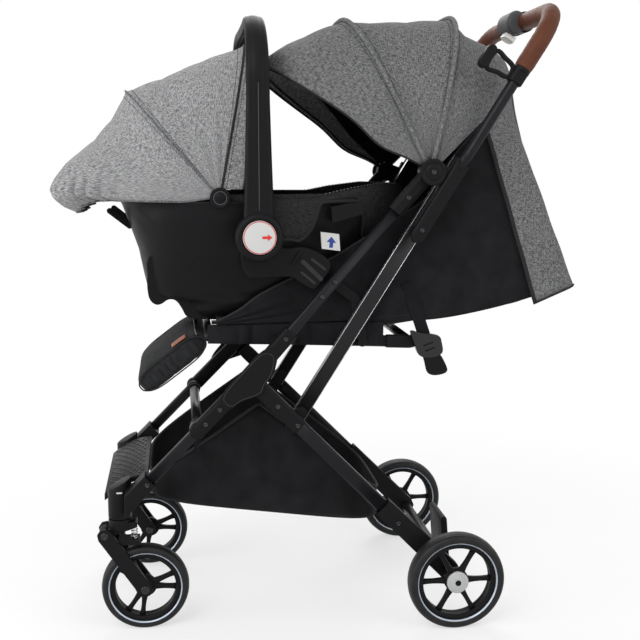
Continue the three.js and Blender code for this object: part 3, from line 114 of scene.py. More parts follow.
# Distance of the main tubes' middles from the middle of the stroller
LEG_X, HANDLE_X, RAIL_X, CASTER_X, REAR_WHEEL_X = 178.0, 201.5, 162.0, 145.0, 221.0
# Edges sharper than this many degrees are rounded: on CAD nodes and plates, and on swept tubes
SHARP, SWEPT_SHARP = 32.0, 40.0


# --------------------------------------------------------------------------- finishes


class Texture(Enum):
    """Kinds of procedural surface."""

    GRAIN = "moulded plastic"
    SATIN = "coated tube"
    BRUSHED = "bare metal"
    RUBBER = "tyre rubber"
    MELANGE = "two-tone woven cloth"
    WEAVE = "plain woven cloth"
    RIBBED = "webbing"
    LEATHER = "grained leather"


@dataclass(frozen=True)
class Finish:
    """One finish of the part.

    Attributes:
        name: Name of the material.
        slot: The record's material slot; not used.
        texture: Kind of surface detail.
        base: Main linear colour.
        accent: Second linear colour, for what varies.
        rough: Roughness of the surface.
        metal: Metalness, 0 to 1.
        sheen: Weight of the fibre sheen.
        grain: Scale of the detail, 1 as made.
        shine: Specular level, 0.5 for plain gloss.
    """

    name: str
    slot: str
    texture: Texture
    base: Point
    accent: Point
    rough: float
    metal: float = 0.0
    sheen: float = 0.0
    grain: float = 1.0
    shine: float = 0.22


BLACK = (0.0055, 0.0055, 0.0062)
PLASTIC = Finish(
    "matte_black_plastic", "black_plastic", Texture.GRAIN, BLACK, (0.0085, 0.0085, 0.0095), 0.44, shine=0.09)
GLOSS = Finish(
    "glossy_black_plastic", "black_plastic", Texture.GRAIN, (0.008, 0.008, 0.009), BLACK, 0.16,
    grain=0.4, shine=0.4)
HOUSING = Finish(
    "grey_soft_plastic", "black_plastic", Texture.GRAIN, (0.05, 0.051, 0.054), (0.065, 0.066, 0.07), 0.55)
TUBE = Finish(
    "satin_black_tube", "black_tube", Texture.SATIN, (0.008, 0.008, 0.0095), (0.012, 0.012, 0.014), 0.34, 0.2,
    shine=0.15)
RAIL = Finish("black_rail_face", "silver", Texture.SATIN, (0.007, 0.007, 0.008), (0.01, 0.01, 0.011), 0.42)
SILVER = Finish(
    "bright_aluminium_edge", "silver", Texture.BRUSHED, (0.6, 0.61, 0.63), (0.42, 0.43, 0.45), 0.3, 0.9)
CAP = Finish("pale_hub_cap", "silver", Texture.BRUSHED, (0.46, 0.47, 0.46), (0.4, 0.405, 0.4), 0.38, 0.15)
STRIPE = Finish("reflective_stripe", "tyre", Texture.BRUSHED, (0.5, 0.55, 0.62), (0.36, 0.4, 0.46), 0.42, 0.35)
STEEL = Finish(
    "zinc_spring_steel", "spring_steel", Texture.BRUSHED, (0.62, 0.63, 0.64), (0.45, 0.46, 0.47), 0.25, 0.95)
RUBBER = Finish("tyre_rubber", "tyre", Texture.RUBBER, (0.0085, 0.0085, 0.009), (0.016, 0.016, 0.017), 0.5)
MELANGE = Finish(
    "grey_melange", "grey_fabric", Texture.MELANGE, (0.055, 0.055, 0.056), (0.21, 0.211, 0.213), 0.92,
    sheen=0.05, grain=1.2, shine=0.1)
HOOD_CLOTH = Finish(
    "light_grey_melange", "grey_fabric", Texture.MELANGE, (0.11, 0.11, 0.113), (0.37, 0.371, 0.376), 0.92,
    sheen=0.1, grain=1.2, shine=0.1)
GREY_PIPING = Finish("grey_piping", "grey_fabric", Texture.MELANGE, (0.05, 0.05, 0.053), (0.2, 0.2, 0.21), 0.9)
CHARCOAL = Finish(
    "charcoal_melange", "dark_fabric", Texture.MELANGE, (0.0095, 0.0098, 0.0105), (0.023, 0.0235, 0.025), 0.92,
    sheen=0.05, grain=1.3, shine=0.1)
SEAT_CLOTH = Finish(
    "grey_black_melange", "dark_fabric", Texture.MELANGE, (0.012, 0.0124, 0.0124), (0.032, 0.0325, 0.032), 0.92,
    grain=1.2, shine=0.1)
BLACK_CLOTH = Finish(
    "black_polyester", "black_fabric", Texture.WEAVE, (0.0065, 0.0065, 0.0075), (0.011, 0.011, 0.0125), 0.85,
    sheen=0.03, shine=0.12)
LINING = Finish(
    "black_lining", "grey_fabric", Texture.WEAVE, (0.0065, 0.0065, 0.0075), (0.01, 0.01, 0.011), 0.9, shine=0.1)
PIPING = Finish("dark_piping", "black_fabric", Texture.RIBBED, (0.012, 0.012, 0.013), (0.022, 0.022, 0.024), 0.85)
WEBBING = Finish(
    "ribbed_webbing", "black_fabric", Texture.RIBBED, (0.006, 0.006, 0.007), (0.012, 0.012, 0.0135), 0.75,
    shine=0.08)
THREAD = Finish("white_thread", "dark_fabric", Texture.RIBBED, (0.42, 0.42, 0.43), (0.6, 0.6, 0.6), 0.8)
DARK_THREAD = Finish(
    "black_thread", "black_fabric", Texture.RIBBED, (0.02, 0.02, 0.022), (0.035, 0.035, 0.038), 0.8)
LEATHER = Finish(
    "brown_leather", "leather", Texture.LEATHER, (0.082, 0.026, 0.013), (0.118, 0.041, 0.021), 0.5, shine=0.14)
COPPER = Finish(
    "copper_leather_tag", "leather", Texture.LEATHER, (0.23, 0.075, 0.04), (0.29, 0.11, 0.06), 0.5, grain=0.6)
PALE = Finish("off_white_plastic", "pale_plastic", Texture.GRAIN, (0.66, 0.65, 0.6), (0.72, 0.71, 0.67), 0.35)
LABEL = Finish(
    "plain_label", "pale_plastic", Texture.GRAIN, (0.5, 0.5, 0.49), (0.55, 0.55, 0.54), 0.5, grain=0.5)
RED = Finish("red_print", "pale_plastic", Texture.GRAIN, (0.55, 0.03, 0.03), (0.6, 0.045, 0.04), 0.45, grain=0.5)
BLUE = Finish(
    "blue_print", "pale_plastic", Texture.GRAIN, (0.02, 0.05, 0.2), (0.025, 0.06, 0.25), 0.45, grain=0.5)
FLOOR = Finish("studio_floor", "", Texture.GRAIN, (0.86, 0.86, 0.86), (0.875, 0.875, 0.875), 0.9, grain=0.05)


def add_node(tree: Tree, kind: str, inputs: dict, **settings: object) -> bpy.types.Node:
    """Adds a node to a tree.

    Args:
        tree: The tree.
        kind: The node's type.
        inputs: Values or sockets by input name or number.
        settings: Properties of the node.

    Returns:
        The node.
    """
    made = tree.nodes.new(kind)
    for key, value in settings.items():
        setattr(made, key, value)
    for key, value in inputs.items():
        if isinstance(value, Socket):
            tree.links.new(value, made.inputs[key])
        else:
            made.inputs[key].default_value = value
    return made


class Surface:
    """Node tree of one procedural material."""

    def __init__(self, finish: Finish) -> None:
        """Starts the tree.

        Args:
            finish: What the material looks like.
        """
        self.finish = finish
        self.material = bpy.data.materials.new(finish.name)
        self.material.use_nodes = True
        self.tree = self.material.node_tree
        self.shader = self.tree.nodes["Principled BSDF"]
        self.coords = self.tree.nodes.new("ShaderNodeTexCoord")

    def node(self, kind: str, inputs: dict, **settings: object) -> bpy.types.Node:
        """Adds a node to the material's tree."""
        return add_node(self.tree, kind, inputs, **settings)

    def noise(
        self, scale: float, detail: float = 2.0, source: str = "Object", stretch: Point = (1, 1, 1)
    ) -> Socket:
        """Noise from 0 to 1.

        Args:
            scale: Features per unit of the coordinates.
            detail: Octaves of finer noise.
            source: Output of the coordinate node, "Object" or "UV", in metres.
            stretch: Scale of the coordinates along each axis.

        Returns:
            The noise.
        """
        mapped = self.node("ShaderNodeMapping", {"Vector": self.coords.outputs[source], "Scale": stretch})
        inputs = {"Vector": mapped.outputs["Vector"], "Scale": scale, "Detail": detail}
        return self.node("ShaderNodeTexNoise", inputs).outputs[0]

    def math(self, operation: str, first: Value, second: Value = 0.0) -> Socket:
        """A sum, product or other operation of the math node on two values."""
        return self.node("ShaderNodeMath", {0: first, 1: second}, operation=operation).outputs[0]

    def remap(self, value: Socket, low: float, high: float, to_low: float = 0.0, to_high: float = 1.0) -> Socket:
        """A value moved from one range to another and clamped there."""
        inputs = {"Value": value, "From Min": low, "From Max": high, "To Min": to_low, "To Max": to_high}
        return self.node("ShaderNodeMapRange", inputs).outputs[0]

    def build(self) -> bpy.types.Material:
        """Builds the surface's own detail and connects it.

        Returns:
            The material.
        """
        look = self.finish
        share, height, depth = getattr(self, look.texture.name.lower())(look.grain)
        mix = self.node("ShaderNodeMix", {0: share}, data_type="RGBA")
        mix.inputs[6].default_value = (*look.base, 1.0)
        mix.inputs[7].default_value = (*look.accent, 1.0)
        rough = self.remap(self.noise(38.0), 0.3, 0.7, look.rough - 0.05, look.rough + 0.06)
        relief = self.node("ShaderNodeBump", {"Height": height, "Strength": 0.6, "Distance": depth * MM})
        wired = {"Base Color": mix.outputs[2], "Roughness": rough, "Normal": relief.outputs[0]}
        for name, socket in wired.items():
            self.tree.links.new(socket, self.shader.inputs[name])
        plain = {"Metallic": look.metal, "Specular IOR Level": look.shine, "Sheen Weight": look.sheen}
        for name, value in plain.items():
            self.shader.inputs[name].default_value = value
        return self.material

    # Each of the next methods makes one texture at a scale of its detail, and returns the share of the
    # accent colour, the height of the relief and its depth in mm.

    def grain(self, scale: float) -> Detail:
        """Fine moulded grain."""
        fine = self.noise(1300.0 * scale, 3.0)
        return self.remap(fine, 0.35, 0.65), fine, 0.12

    def satin(self, scale: float) -> Detail:
        """Paint with a slight orange peel."""
        peel = self.noise(420.0 * scale)
        return self.remap(peel, 0.3, 0.7), peel, 0.05

    def brushed(self, scale: float) -> Detail:
        """Fine lines along the metal."""
        lines = self.noise(1.0, 3.0, stretch=(1800 * scale, 60, 60))
        return self.remap(lines, 0.3, 0.7), lines, 0.03

    def rubber(self, scale: float) -> Detail:
        """Dull rubber with dust in its pores."""
        pores, dust = self.noise(900.0 * scale, 4.0), self.noise(60.0, 3.0)
        return self.remap(self.math("MULTIPLY", pores, dust), 0.18, 0.36), pores, 0.15

    def threads(self, pitch: float) -> Socket:
        """Warp and weft of a plain weave, one mm apart times the pitch."""
        inputs = {"Vector": self.coords.outputs["UV"], "Scale": 314.0 / pitch, "Distortion": 0.4}
        lines = [self.node("ShaderNodeTexWave", inputs, bands_direction=axis).outputs["Fac"] for axis in "XY"]
        return self.math("MULTIPLY", *lines)

    def melange(self, scale: float) -> Detail:
        """Two-tone yarn in short streaks along and across the weave."""
        warp = self.noise(1.0, 3.0, "UV", (110 * scale, 640 * scale, 1))
        weft = self.noise(1.0, 3.0, "UV", (640 * scale, 110 * scale, 1))
        slow = self.math("MULTIPLY", self.noise(9.0), 0.12)
        share = self.remap(self.math("ADD", self.math("ADD", warp, weft), slow), 0.9, 1.22)
        return share, self.math("ADD", self.threads(1.2), share), 0.2

    def weave(self, scale: float) -> Detail:
        """Plain weave with slow folds in its tone."""
        slow = self.noise(26.0 * scale, 3.0)
        return self.remap(slow, 0.35, 0.65), self.math("ADD", self.threads(0.9), slow), 0.3

    def ribbed(self, scale: float) -> Detail:
        """Close ribs of a webbing or a thread."""
        inputs = {"Vector": self.coords.outputs["Object"], "Scale": 130.0 * scale}
        ribs = self.node("ShaderNodeTexWave", inputs, bands_direction="Z").outputs["Fac"]
        return ribs, ribs, 0.4

    def leather(self, scale: float) -> Detail:
        """Pebbled grain with darker creases."""
        inputs = {"Vector": self.coords.outputs["Object"], "Scale": 620.0 * scale}
        cells = self.node("ShaderNodeTexVoronoi", inputs, feature="DISTANCE_TO_EDGE").outputs[0]
        patches = self.remap(self.noise(45.0, 3.0), 0.3, 0.7, 0.2, 1.0)
        share = self.math("MULTIPLY", self.remap(cells, 0.0, 0.18, 0.25, 1.0), patches)
        return share, self.remap(cells, 0.0, 0.3), 0.22


class FinishBook:
    """Keeps one material for each finish."""

    def __init__(self) -> None:
        """Starts without materials."""
        self.made: dict[str, bpy.types.Material] = {}

    def get(self, finish: Finish) -> bpy.types.Material:
        """The material of a finish, built on first use.

        Args:
            finish: The finish.

        Returns:
            Its material.
        """
        if finish.name not in self.made:
            self.made[finish.name] = Surface(finish).build()
        return self.made[finish.name]


BOOK = FinishBook()


# --------------------------------------------------------------------------- curves and sections


def direction(degrees: float) -> Pair:
    """Unit vector of the side view at that angle above +Y."""
    return math.cos(math.radians(degrees)), math.sin(math.radians(degrees))


def unit(start: Pair, end: Pair) -> Pair:
    """Unit vector from one side-view point to another."""
    length = math.hypot(end[0] - start[0], end[1] - start[1])
    return (end[0] - start[0]) / length, (end[1] - start[1]) / length


def local(origin: Pair, run: Pair, along: float, across: float = 0.0) -> Pair:
    """A side-view point in lengths along a direction and to its lower right."""
    return origin[0] + run[0] * along + run[1] * across, origin[1] + run[1] * along - run[0] * across


def handle_at(along: float, across: float = 0.0) -> Pair:
    """A side-view point by its length along the push handle's tube, from beside the hub."""
    return local(HANDLE_BASE, HANDLE_RUN, along, across)


def bent(value: Array, exponent: float) -> Array:
    """A power that keeps the sign."""
    return np.sign(value) * np.abs(value) ** exponent


def around(steps: int) -> Array:
    """Angles round a full turn."""
    return np.linspace(0, 2 * np.pi, steps, endpoint=False)


def bell(value: Array, width: float) -> Array:
    """A soft bell, 1 at 0 and gone past two widths."""
    return np.exp(-((value / width) ** 2))


def smooth(points: Path, steps: int = 6, closed: bool = False) -> Array:
    """A Catmull-Rom curve through points.

    Args:
        points: The points that the curve passes.
        steps: Steps between two points.
        closed: Whether the curve returns to its start.

    Returns:
        The points of the curve.
    """
    p = np.asarray(points, float)
    count = len(p)
    out = []
    for i in range(count if closed else count - 1):
        p1, p2 = p[i], p[(i + 1) % count]
        p0 = p[i - 1] if closed or i else 2 * p1 - p2
        p3 = p[(i + 2) % count] if closed or i < count - 2 else 2 * p2 - p1
        a, b, c = p2 - p0, 2 * p0 - 5 * p1 + 4 * p2 - p3, 3 * p1 - p0 - 3 * p2 + p3
        out += [p1 + 0.5 * (a * t + b * t * t + c * t**3) for t in np.arange(steps) / steps]
    if not closed:
        out.append(p[-1])
    return np.array(out)


def resample(points: Array, count: int, closed: bool = False) -> Array:
    """Points at equal spacing along a polyline.

    Args:
        points: The polyline.
        count: How many points to return.
        closed: Whether it returns to its start.

    Returns:
        The spaced points.
    """
    p = np.asarray(points, float)
    if closed:
        p = np.vstack([p, p[:1]])
    length = np.concatenate([[0], np.cumsum(np.linalg.norm(np.diff(p, axis=0), axis=1))])
    want = np.linspace(0, length[-1], count, endpoint=not closed)
    return np.stack([np.interp(want, length, p[:, k]) for k in range(p.shape[1])], 1)


def oval(width: float, height: float, power: float = 2.0, sides: int = 24) -> Array:
    """A superellipse as offsets along two axes."""
    turn = around(sides) + np.pi / sides
    return np.stack([width / 2 * bent(np.cos(turn), 2 / power), height / 2 * bent(np.sin(turn), 2 / power)], 1)


def circle(width: float, sides: int) -> Array:
    """A round section."""
    return oval(width, width, 2, sides)


def at_x(points: Path, x: float) -> Array:
    """Side-view points as points of space at one X."""
    p = np.asarray(points, float)
    return np.column_stack([np.full(len(p), float(x)), p[:, 0], p[:, 1]])


def bar_outline(start: Pair, end: Pair, width: float) -> list[Pair]:
    """The side-view outline of a bar with round ends.

    Args:
        start: Middle of one end.
        end: Middle of the other end.
        width: Width of the bar.

    Returns:
        The outline.
    """
    run = unit(start, end)
    base = math.degrees(math.atan2(run[1], run[0]))
    outline = []
    for centre, first in ((end, -90), (start, 90)):
        for k in range(11):
            dy, dz = direction(base + first + 18 * k)
            outline.append((centre[0] + dy * width / 2, centre[1] + dz * width / 2))
    return outline


def block(low: Pair, high: Pair) -> list[Pair]:
    """The side-view outline of a block between two corners."""
    return [low, (high[0], low[1]), high, (low[0], high[1])]


def half_bow(x: float, start: float, top: float, radius: float, counts: tuple[int, int, int]) -> Array:
    """Half of a U with a round corner, from its foot to its middle.

    Args:
        x: Distance of the foot from the middle.
        start: Length at the foot.
        top: Length at the bar.
        radius: Radius of the corner.
        counts: Points on the arm, the corner and the bar.

    Returns:
        Pairs of X and length.
    """
    arm, corner, bar = counts
    turn = np.linspace(0, np.pi / 2, corner)
    return np.vstack([
        np.column_stack([np.full(arm - 1, x), np.linspace(start, top - radius, arm)[:-1]]),
        np.column_stack([x - radius * (1 - np.cos(turn)), top - radius * (1 - np.sin(turn))]),
        np.column_stack([np.linspace(x - radius, 0, bar)[1:], np.full(bar - 1, top)]),
    ])


def both_halves(left: Array) -> Array:
    """A line that ends in the middle, carried on to the other side."""
    return np.vstack([left, left[:-1][::-1] * np.array([-1, 1, 1])])


# --------------------------------------------------------------------------- meshes


def link(name: str, data: bpy.types.ID) -> Object:
    """Puts a mesh, light or camera in the scene.

    Args:
        name: Name of the object.
        data: What it shows.

    Returns:
        The object.
    """
    obj = bpy.data.objects.new(name, data)
    bpy.context.scene.collection.objects.link(obj)
    return obj


def mesh_of(name: str, points: Array, edges: Sequence, faces: Sequence) -> Mesh:
    """A mesh from points in mm.

    Args:
        name: Name of the mesh.
        points: The points.
        edges: Pairs of point numbers.
        faces: Tuples of point numbers.

    Returns:
        The mesh.
    """
    mesh = bpy.data.meshes.new(name)
    mesh.from_pydata((np.asarray(points, float).reshape(-1, 3) * MM).tolist(), edges, faces)
    return mesh


def points_of(obj: Object) -> Array:
    """The points of an object's mesh in mm."""
    return np.array([v.co for v in obj.data.vertices]) / MM


def move_points(obj: Object, points: Array) -> None:
    """Moves the points of an object's mesh to new places in mm."""
    obj.data.vertices.foreach_set("co", (points * MM).ravel())
    obj.data.update()


def outward(mesh: Mesh) -> None:
    """Merges the doubles of a closed mesh and turns its faces outward.

    Args:
        mesh: The mesh.
    """
    work = bmesh.new()
    work.from_mesh(mesh)
    bmesh.ops.remove_doubles(work, verts=work.verts, dist=2e-6)
    bmesh.ops.recalc_face_normals(work, faces=work.faces)
    work.to_mesh(mesh)
    work.free()


def grid(
    name: str, rows: Sequence[Array], wrap: bool = False, caps: bool = False, loop: bool = False,
    inside: Optional[Sequence[float]] = None,
) -> Object:
    """A skin over rows of points, with UV in metres along and across the rows.

    Args:
        name: Name of the piece.
        rows: Rows of points in mm, all of one length.
        wrap: Whether each row is a ring.
        caps: Whether the two end rings are closed.
        loop: Whether the last row joins the first.
        inside: For an open sheet, a point in mm that its faces turn away from.

    Returns:
        The object.
    """
    p = np.asarray(rows, float)
    count, size, _ = p.shape
    seam = np.concatenate([p, p[:, :1]], 1) if wrap else p
    widths = np.linalg.norm(np.diff(seam, axis=1), axis=2)
    u = np.concatenate([np.zeros((count, 1)), np.cumsum(widths, 1)], 1)
    if not wrap:
        u -= u[:, -1:] / 2
    step = np.linalg.norm(np.diff(p, axis=0), axis=2).mean(1)
    v = np.concatenate([[0], np.cumsum(step), [np.sum(step) + (step[-1] if len(step) else 0)]])
    faces, uvs = [], []
    for i in range(count if loop else count - 1):
        n = (i + 1) % count
        for j in range(size if wrap else size - 1):
            k = (j + 1) % size
            faces.append((i * size + j, i * size + k, n * size + k, n * size + j))
            uvs += [(u[i, j], v[i]), (u[i, j + 1], v[i]), (u[n, j + 1], v[i + 1]), (u[n, j], v[i + 1])]
    if caps and wrap:
        faces += [tuple(range(size))[::-1], tuple((count - 1) * size + k for k in range(size))]
        uvs += [(p[0, k, 1], p[0, k, 2]) for k in range(size)][::-1]
        uvs += [(p[-1, k, 1], p[-1, k, 2]) for k in range(size)]
    mesh = mesh_of(name, p, [], faces)
    layer = mesh.uv_layers.new(name="UVMap")
    layer.data.foreach_set("uv", (np.array(uvs) * MM).ravel())
    if inside is None:
        outward(mesh)
    else:
        normals = np.array([f.normal for f in mesh.polygons])
        centres = np.array([f.center for f in mesh.polygons])
        if np.sum((centres - np.array(inside) * MM) * normals) < 0:
            mesh.flip_normals()
    mesh.shade_smooth()
    return link(name, mesh)


def tube(
    name: str, path: Path, section: Array, up: Sequence[float] = (1, 0, 0),
    loop: bool = False, scale: Optional[Array] = None,
) -> Object:
    """Sweeps a section along a path.

    Args:
        name: Name of the piece.
        path: Points in mm.
        section: Offsets in mm, first along up, then square to it and to the path.
        up: Direction that the first offset follows, never along the path.
        loop: Whether the path returns to its start.
        scale: Scale of both offsets at each point of the path.

    Returns:
        The object.
    """
    p = np.asarray(path, float)
    run = np.roll(p, -1, 0) - np.roll(p, 1, 0) if loop else np.gradient(p, axis=0)
    run /= np.linalg.norm(run, axis=1)[:, None]
    base = np.asarray(up, float)
    rows = []
    for i in range(len(p)):
        first = base - run[i] * np.dot(base, run[i])
        first /= np.linalg.norm(first)
        second = np.cross(run[i], first)
        a, b = (1.0, 1.0) if scale is None else scale[i]
        rows.append(p[i] + section[:, :1] * a * first + section[:, 1:] * b * second)
    return grid(name, rows, wrap=True, caps=not loop, loop=loop)


def lathe(name: str, centre: Pair, profile: Sequence[Pair], closed: bool = False, segments: int = 48) -> Object:
    """Turns a profile about an axis along X.

    Args:
        name: Name of the piece.
        centre: The axis, in Y and Z.
        profile: Pairs of X and radius.
        closed: Whether the profile returns to its start, as for a ring.
        segments: Steps round the axis.

    Returns:
        The object.
    """
    turn = around(segments)
    y, z = np.cos(turn), np.sin(turn)
    rows = [np.column_stack([np.full(segments, x), centre[0] + r * y, centre[1] + r * z]) for x, r in profile]
    return grid(name, rows, wrap=True, caps=not closed and min(profile[0][1], profile[-1][1]) > 0, loop=closed)


def plate(name: str, outline: Sequence[Pair], low: float, high: float, bevel: float = 1.2) -> Object:
    """A side-view outline drawn out along X, with rounded edges.

    Args:
        name: Name of the piece.
        outline: Points in Y and Z.
        low: One end in X.
        high: Other end in X.
        bevel: Radius of the edges.

    Returns:
        The object.
    """
    count = len(outline)
    points = [(x, y, z) for x in (low, high) for y, z in outline]
    faces = [tuple(range(count)), tuple(range(2 * count - 1, count - 1, -1))]
    faces += [(k, (k + 1) % count, count + (k + 1) % count, count + k) for k in range(count)]
    mesh = mesh_of(name, points, [], faces)
    outward(mesh)
    obj = link(name, mesh)
    return rounded(obj, bevel) if bevel else obj


def bake(obj: Object) -> Object:
    """Replaces an object's mesh by what its modifiers make of it, and removes them.

    Args:
        obj: The object.

    Returns:
        The object.
    """
    bpy.context.view_layer.update()
    graph = bpy.context.evaluated_depsgraph_get()
    mesh = bpy.data.meshes.new_from_object(obj.evaluated_get(graph), depsgraph=graph)
    obj.modifiers.clear()
    obj.data = mesh
    return obj


def rounded(obj: Object, radius: float, angle: float = SHARP) -> Object:
    """Rounds the sharp edges and keeps the flat faces flat.

    Args:
        obj: The object.
        radius: Radius of the edges in mm.
        angle: Edges sharper than this many degrees are rounded.

    Returns:
        The object.
    """
    bevel = obj.modifiers.new("Bevel", "BEVEL")
    bevel.width = radius * MM
    bevel.segments = 3
    bevel.limit_method = "ANGLE"
    bevel.angle_limit = math.radians(angle)
    bevel.harden_normals = True
    obj.data.shade_smooth()
    return bake(obj)


def soften(frame: dict, node: str, name: str, radius: float) -> Object:
    """A CAD node with its facets merged and its edges rounded.

    Args:
        frame: The loaded frame.
        node: Name of the CAD node.
        name: Name of the piece.
        radius: Radius of the edges in mm.

    Returns:
        The object.
    """
    source = frame["nodes"][node]
    work = bmesh.new()
    work.from_mesh(source.data)
    work.transform(source.matrix_world)
    bmesh.ops.remove_doubles(work, verts=work.verts, dist=2e-5)
    bmesh.ops.dissolve_limit(work, angle_limit=math.radians(1.0), verts=work.verts, edges=work.edges)
    mesh = bpy.data.meshes.new(name)
    work.to_mesh(mesh)
    work.free()
    return rounded(link(name, mesh), radius)


def thicken(obj: Object, wall: float, offset: float = -1.0) -> Object:
    """Gives a sheet its wall, inward from its faces unless offset says otherwise.

    Args:
        obj: The sheet.
        wall: Thickness in mm.
        offset: -1 for inward, 0 for both ways.

    Returns:
        The object.
    """
    solid = obj.modifiers.new("Wall", "SOLIDIFY")
    solid.thickness = wall * MM
    solid.offset = offset
    solid.use_even_offset = False
    solid.material_offset = 1
    return bake(obj)


def joined(name: str, parts: Sequence[Object]) -> Object:
    """Joins several objects into one piece.

    Args:
        name: Name of the piece.
        parts: The objects, which are removed.

    Returns:
        The object.
    """
    work = bmesh.new()
    for part in parts:
        work.from_mesh(part.data)
        bpy.data.objects.remove(part)
    mesh = bpy.data.meshes.new(name)
    work.to_mesh(mesh)
    work.free()
    return link(name, mesh)


# --------------------------------------------------------------------------- geometry nodes


class Repeater:
    """Geometry Nodes trees for what repeats: stitches, dots and the parts of a ring."""

    def __init__(self) -> None:
        """Starts without trees."""
        self.trees: dict[str, Tree] = {}

    def start(self, name: str, **numbers: float) -> tuple[Tree, bpy.types.Node]:
        """Starts a tree with a geometry input, number inputs and a material.

        Args:
            name: Name of the tree.
            numbers: Value of each number input, an int for a whole number.

        Returns:
            The tree and its input node.
        """
        tree = bpy.data.node_groups.new(name, "GeometryNodeTree")
        sockets = tree.interface
        sockets.new_socket("Geometry", in_out="INPUT", socket_type="NodeSocketGeometry")
        for label, value in numbers.items():
            kind = "NodeSocketInt" if isinstance(value, int) else "NodeSocketFloat"
            sockets.new_socket(label, in_out="INPUT", socket_type=kind).default_value = value
        sockets.new_socket("Finish", in_out="INPUT", socket_type="NodeSocketMaterial")
        sockets.new_socket("Geometry", in_out="OUTPUT", socket_type="NodeSocketGeometry")
        return tree, tree.nodes.new("NodeGroupInput")

    def finish(self, tree: Tree, source: bpy.types.Node, **inputs: Socket) -> Tree:
        """Ends a tree in copies on points, Realize Instances and Set Material.

        Args:
            tree: The tree.
            source: Its input node.
            inputs: Sockets for the copies: Points, Instance, Rotation and Scale.

        Returns:
            The tree.
        """
        copies = add_node(tree, "GeometryNodeInstanceOnPoints", inputs)
        real = add_node(tree, "GeometryNodeRealizeInstances", {0: copies.outputs[0]})
        paint = {"Geometry": real.outputs[0], "Material": source.outputs["Finish"]}
        add_node(tree, "NodeGroupOutput", {0: add_node(tree, "GeometryNodeSetMaterial", paint).outputs[0]})
        return tree

    def ball(self, tree: Tree, segments: int) -> Socket:
        """A ball of radius 1."""
        sizes = {"Segments": segments, "Rings": 6, "Radius": 1.0}
        return add_node(tree, "GeometryNodeMeshUVSphere", sizes).outputs[0]

    def stitches(self) -> Tree:
        """Short rounded threads along the edges of a line."""
        tree, source = self.start("StitchRow", Pitch=0.005, Length=0.0016, Width=0.0005)
        line, pitch, length, width = list(source.outputs)[:4]
        curve = add_node(tree, "GeometryNodeMeshToCurve", {0: line})
        spacing = {"Curve": curve.outputs[0], "Length": pitch}
        spaced = add_node(tree, "GeometryNodeResampleCurve", spacing, mode="LENGTH")
        size = add_node(tree, "ShaderNodeCombineXYZ", {0: length, 1: width, 2: width})
        run = tree.nodes.new("GeometryNodeInputTangent").outputs[0]
        turn = add_node(tree, "FunctionNodeAlignRotationToVector", {"Vector": run}, axis="X")
        return self.finish(
            tree, source, Points=spaced.outputs[0], Instance=self.ball(tree, 8), Rotation=turn.outputs[0],
            Scale=size.outputs[0])

    def dots(self) -> Tree:
        """Low domes on the points of a mesh."""
        tree, source = self.start("DotField", Radius=0.0012, Height=0.0006)
        points, radius, height = list(source.outputs)[:3]
        size = add_node(tree, "ShaderNodeCombineXYZ", {0: radius, 1: radius, 2: height})
        return self.finish(tree, source, Points=points, Instance=self.ball(tree, 12), Scale=size.outputs[0])

    def ring(self) -> Tree:
        """Copies of a shape turned about the X axis."""
        tree, source = self.start("RingRepeat", Count=6)
        shape, count = list(source.outputs)[:2]
        points = add_node(tree, "GeometryNodePoints", {"Count": count})
        index = tree.nodes.new("GeometryNodeInputIndex").outputs[0]
        step = add_node(tree, "ShaderNodeMath", {0: 2 * math.pi, 1: count}, operation="DIVIDE")
        angle = add_node(tree, "ShaderNodeMath", {0: step.outputs[0], 1: index}, operation="MULTIPLY")
        turn = add_node(tree, "ShaderNodeCombineXYZ", {0: angle.outputs[0]})
        return self.finish(tree, source, Points=points.outputs[0], Instance=shape, Rotation=turn.outputs[0])

    def apply(self, obj: Object, kind: str, finish: Finish, **values: float) -> Object:
        """Runs a tree on an object and keeps the result as its mesh.

        Args:
            obj: The object with the line, points or unit.
            kind: "stitches", "dots" or "ring".
            finish: Finish of the copies.
            values: The tree's number inputs by name.

        Returns:
            The object.
        """
        if kind not in self.trees:
            self.trees[kind] = getattr(self, kind)()
        tree = self.trees[kind]
        modifier = obj.modifiers.new(kind, "NODES")
        modifier.node_group = tree
        wanted = {**values, "Finish": BOOK.get(finish)}
        for item in tree.interface.items_tree:
            if item.item_type == "SOCKET" and item.in_out == "INPUT" and item.name in wanted:
                modifier[item.identifier] = wanted[item.name]
        bake(obj)
        obj.data.shade_smooth()
        return obj


REPEAT = Repeater()


def stitch_line(name: str, path: Array, finish: Finish, pitch: float, length: float, width: float) -> Object:
    """A row of stitches."""
    obj = link(name, mesh_of(name, path, [(k, k + 1) for k in range(len(path) - 1)], []))
    return REPEAT.apply(obj, "stitches", finish, Pitch=pitch * MM, Length=length * MM, Width=width * MM)


# --------------------------------------------------------------------------- assemblies


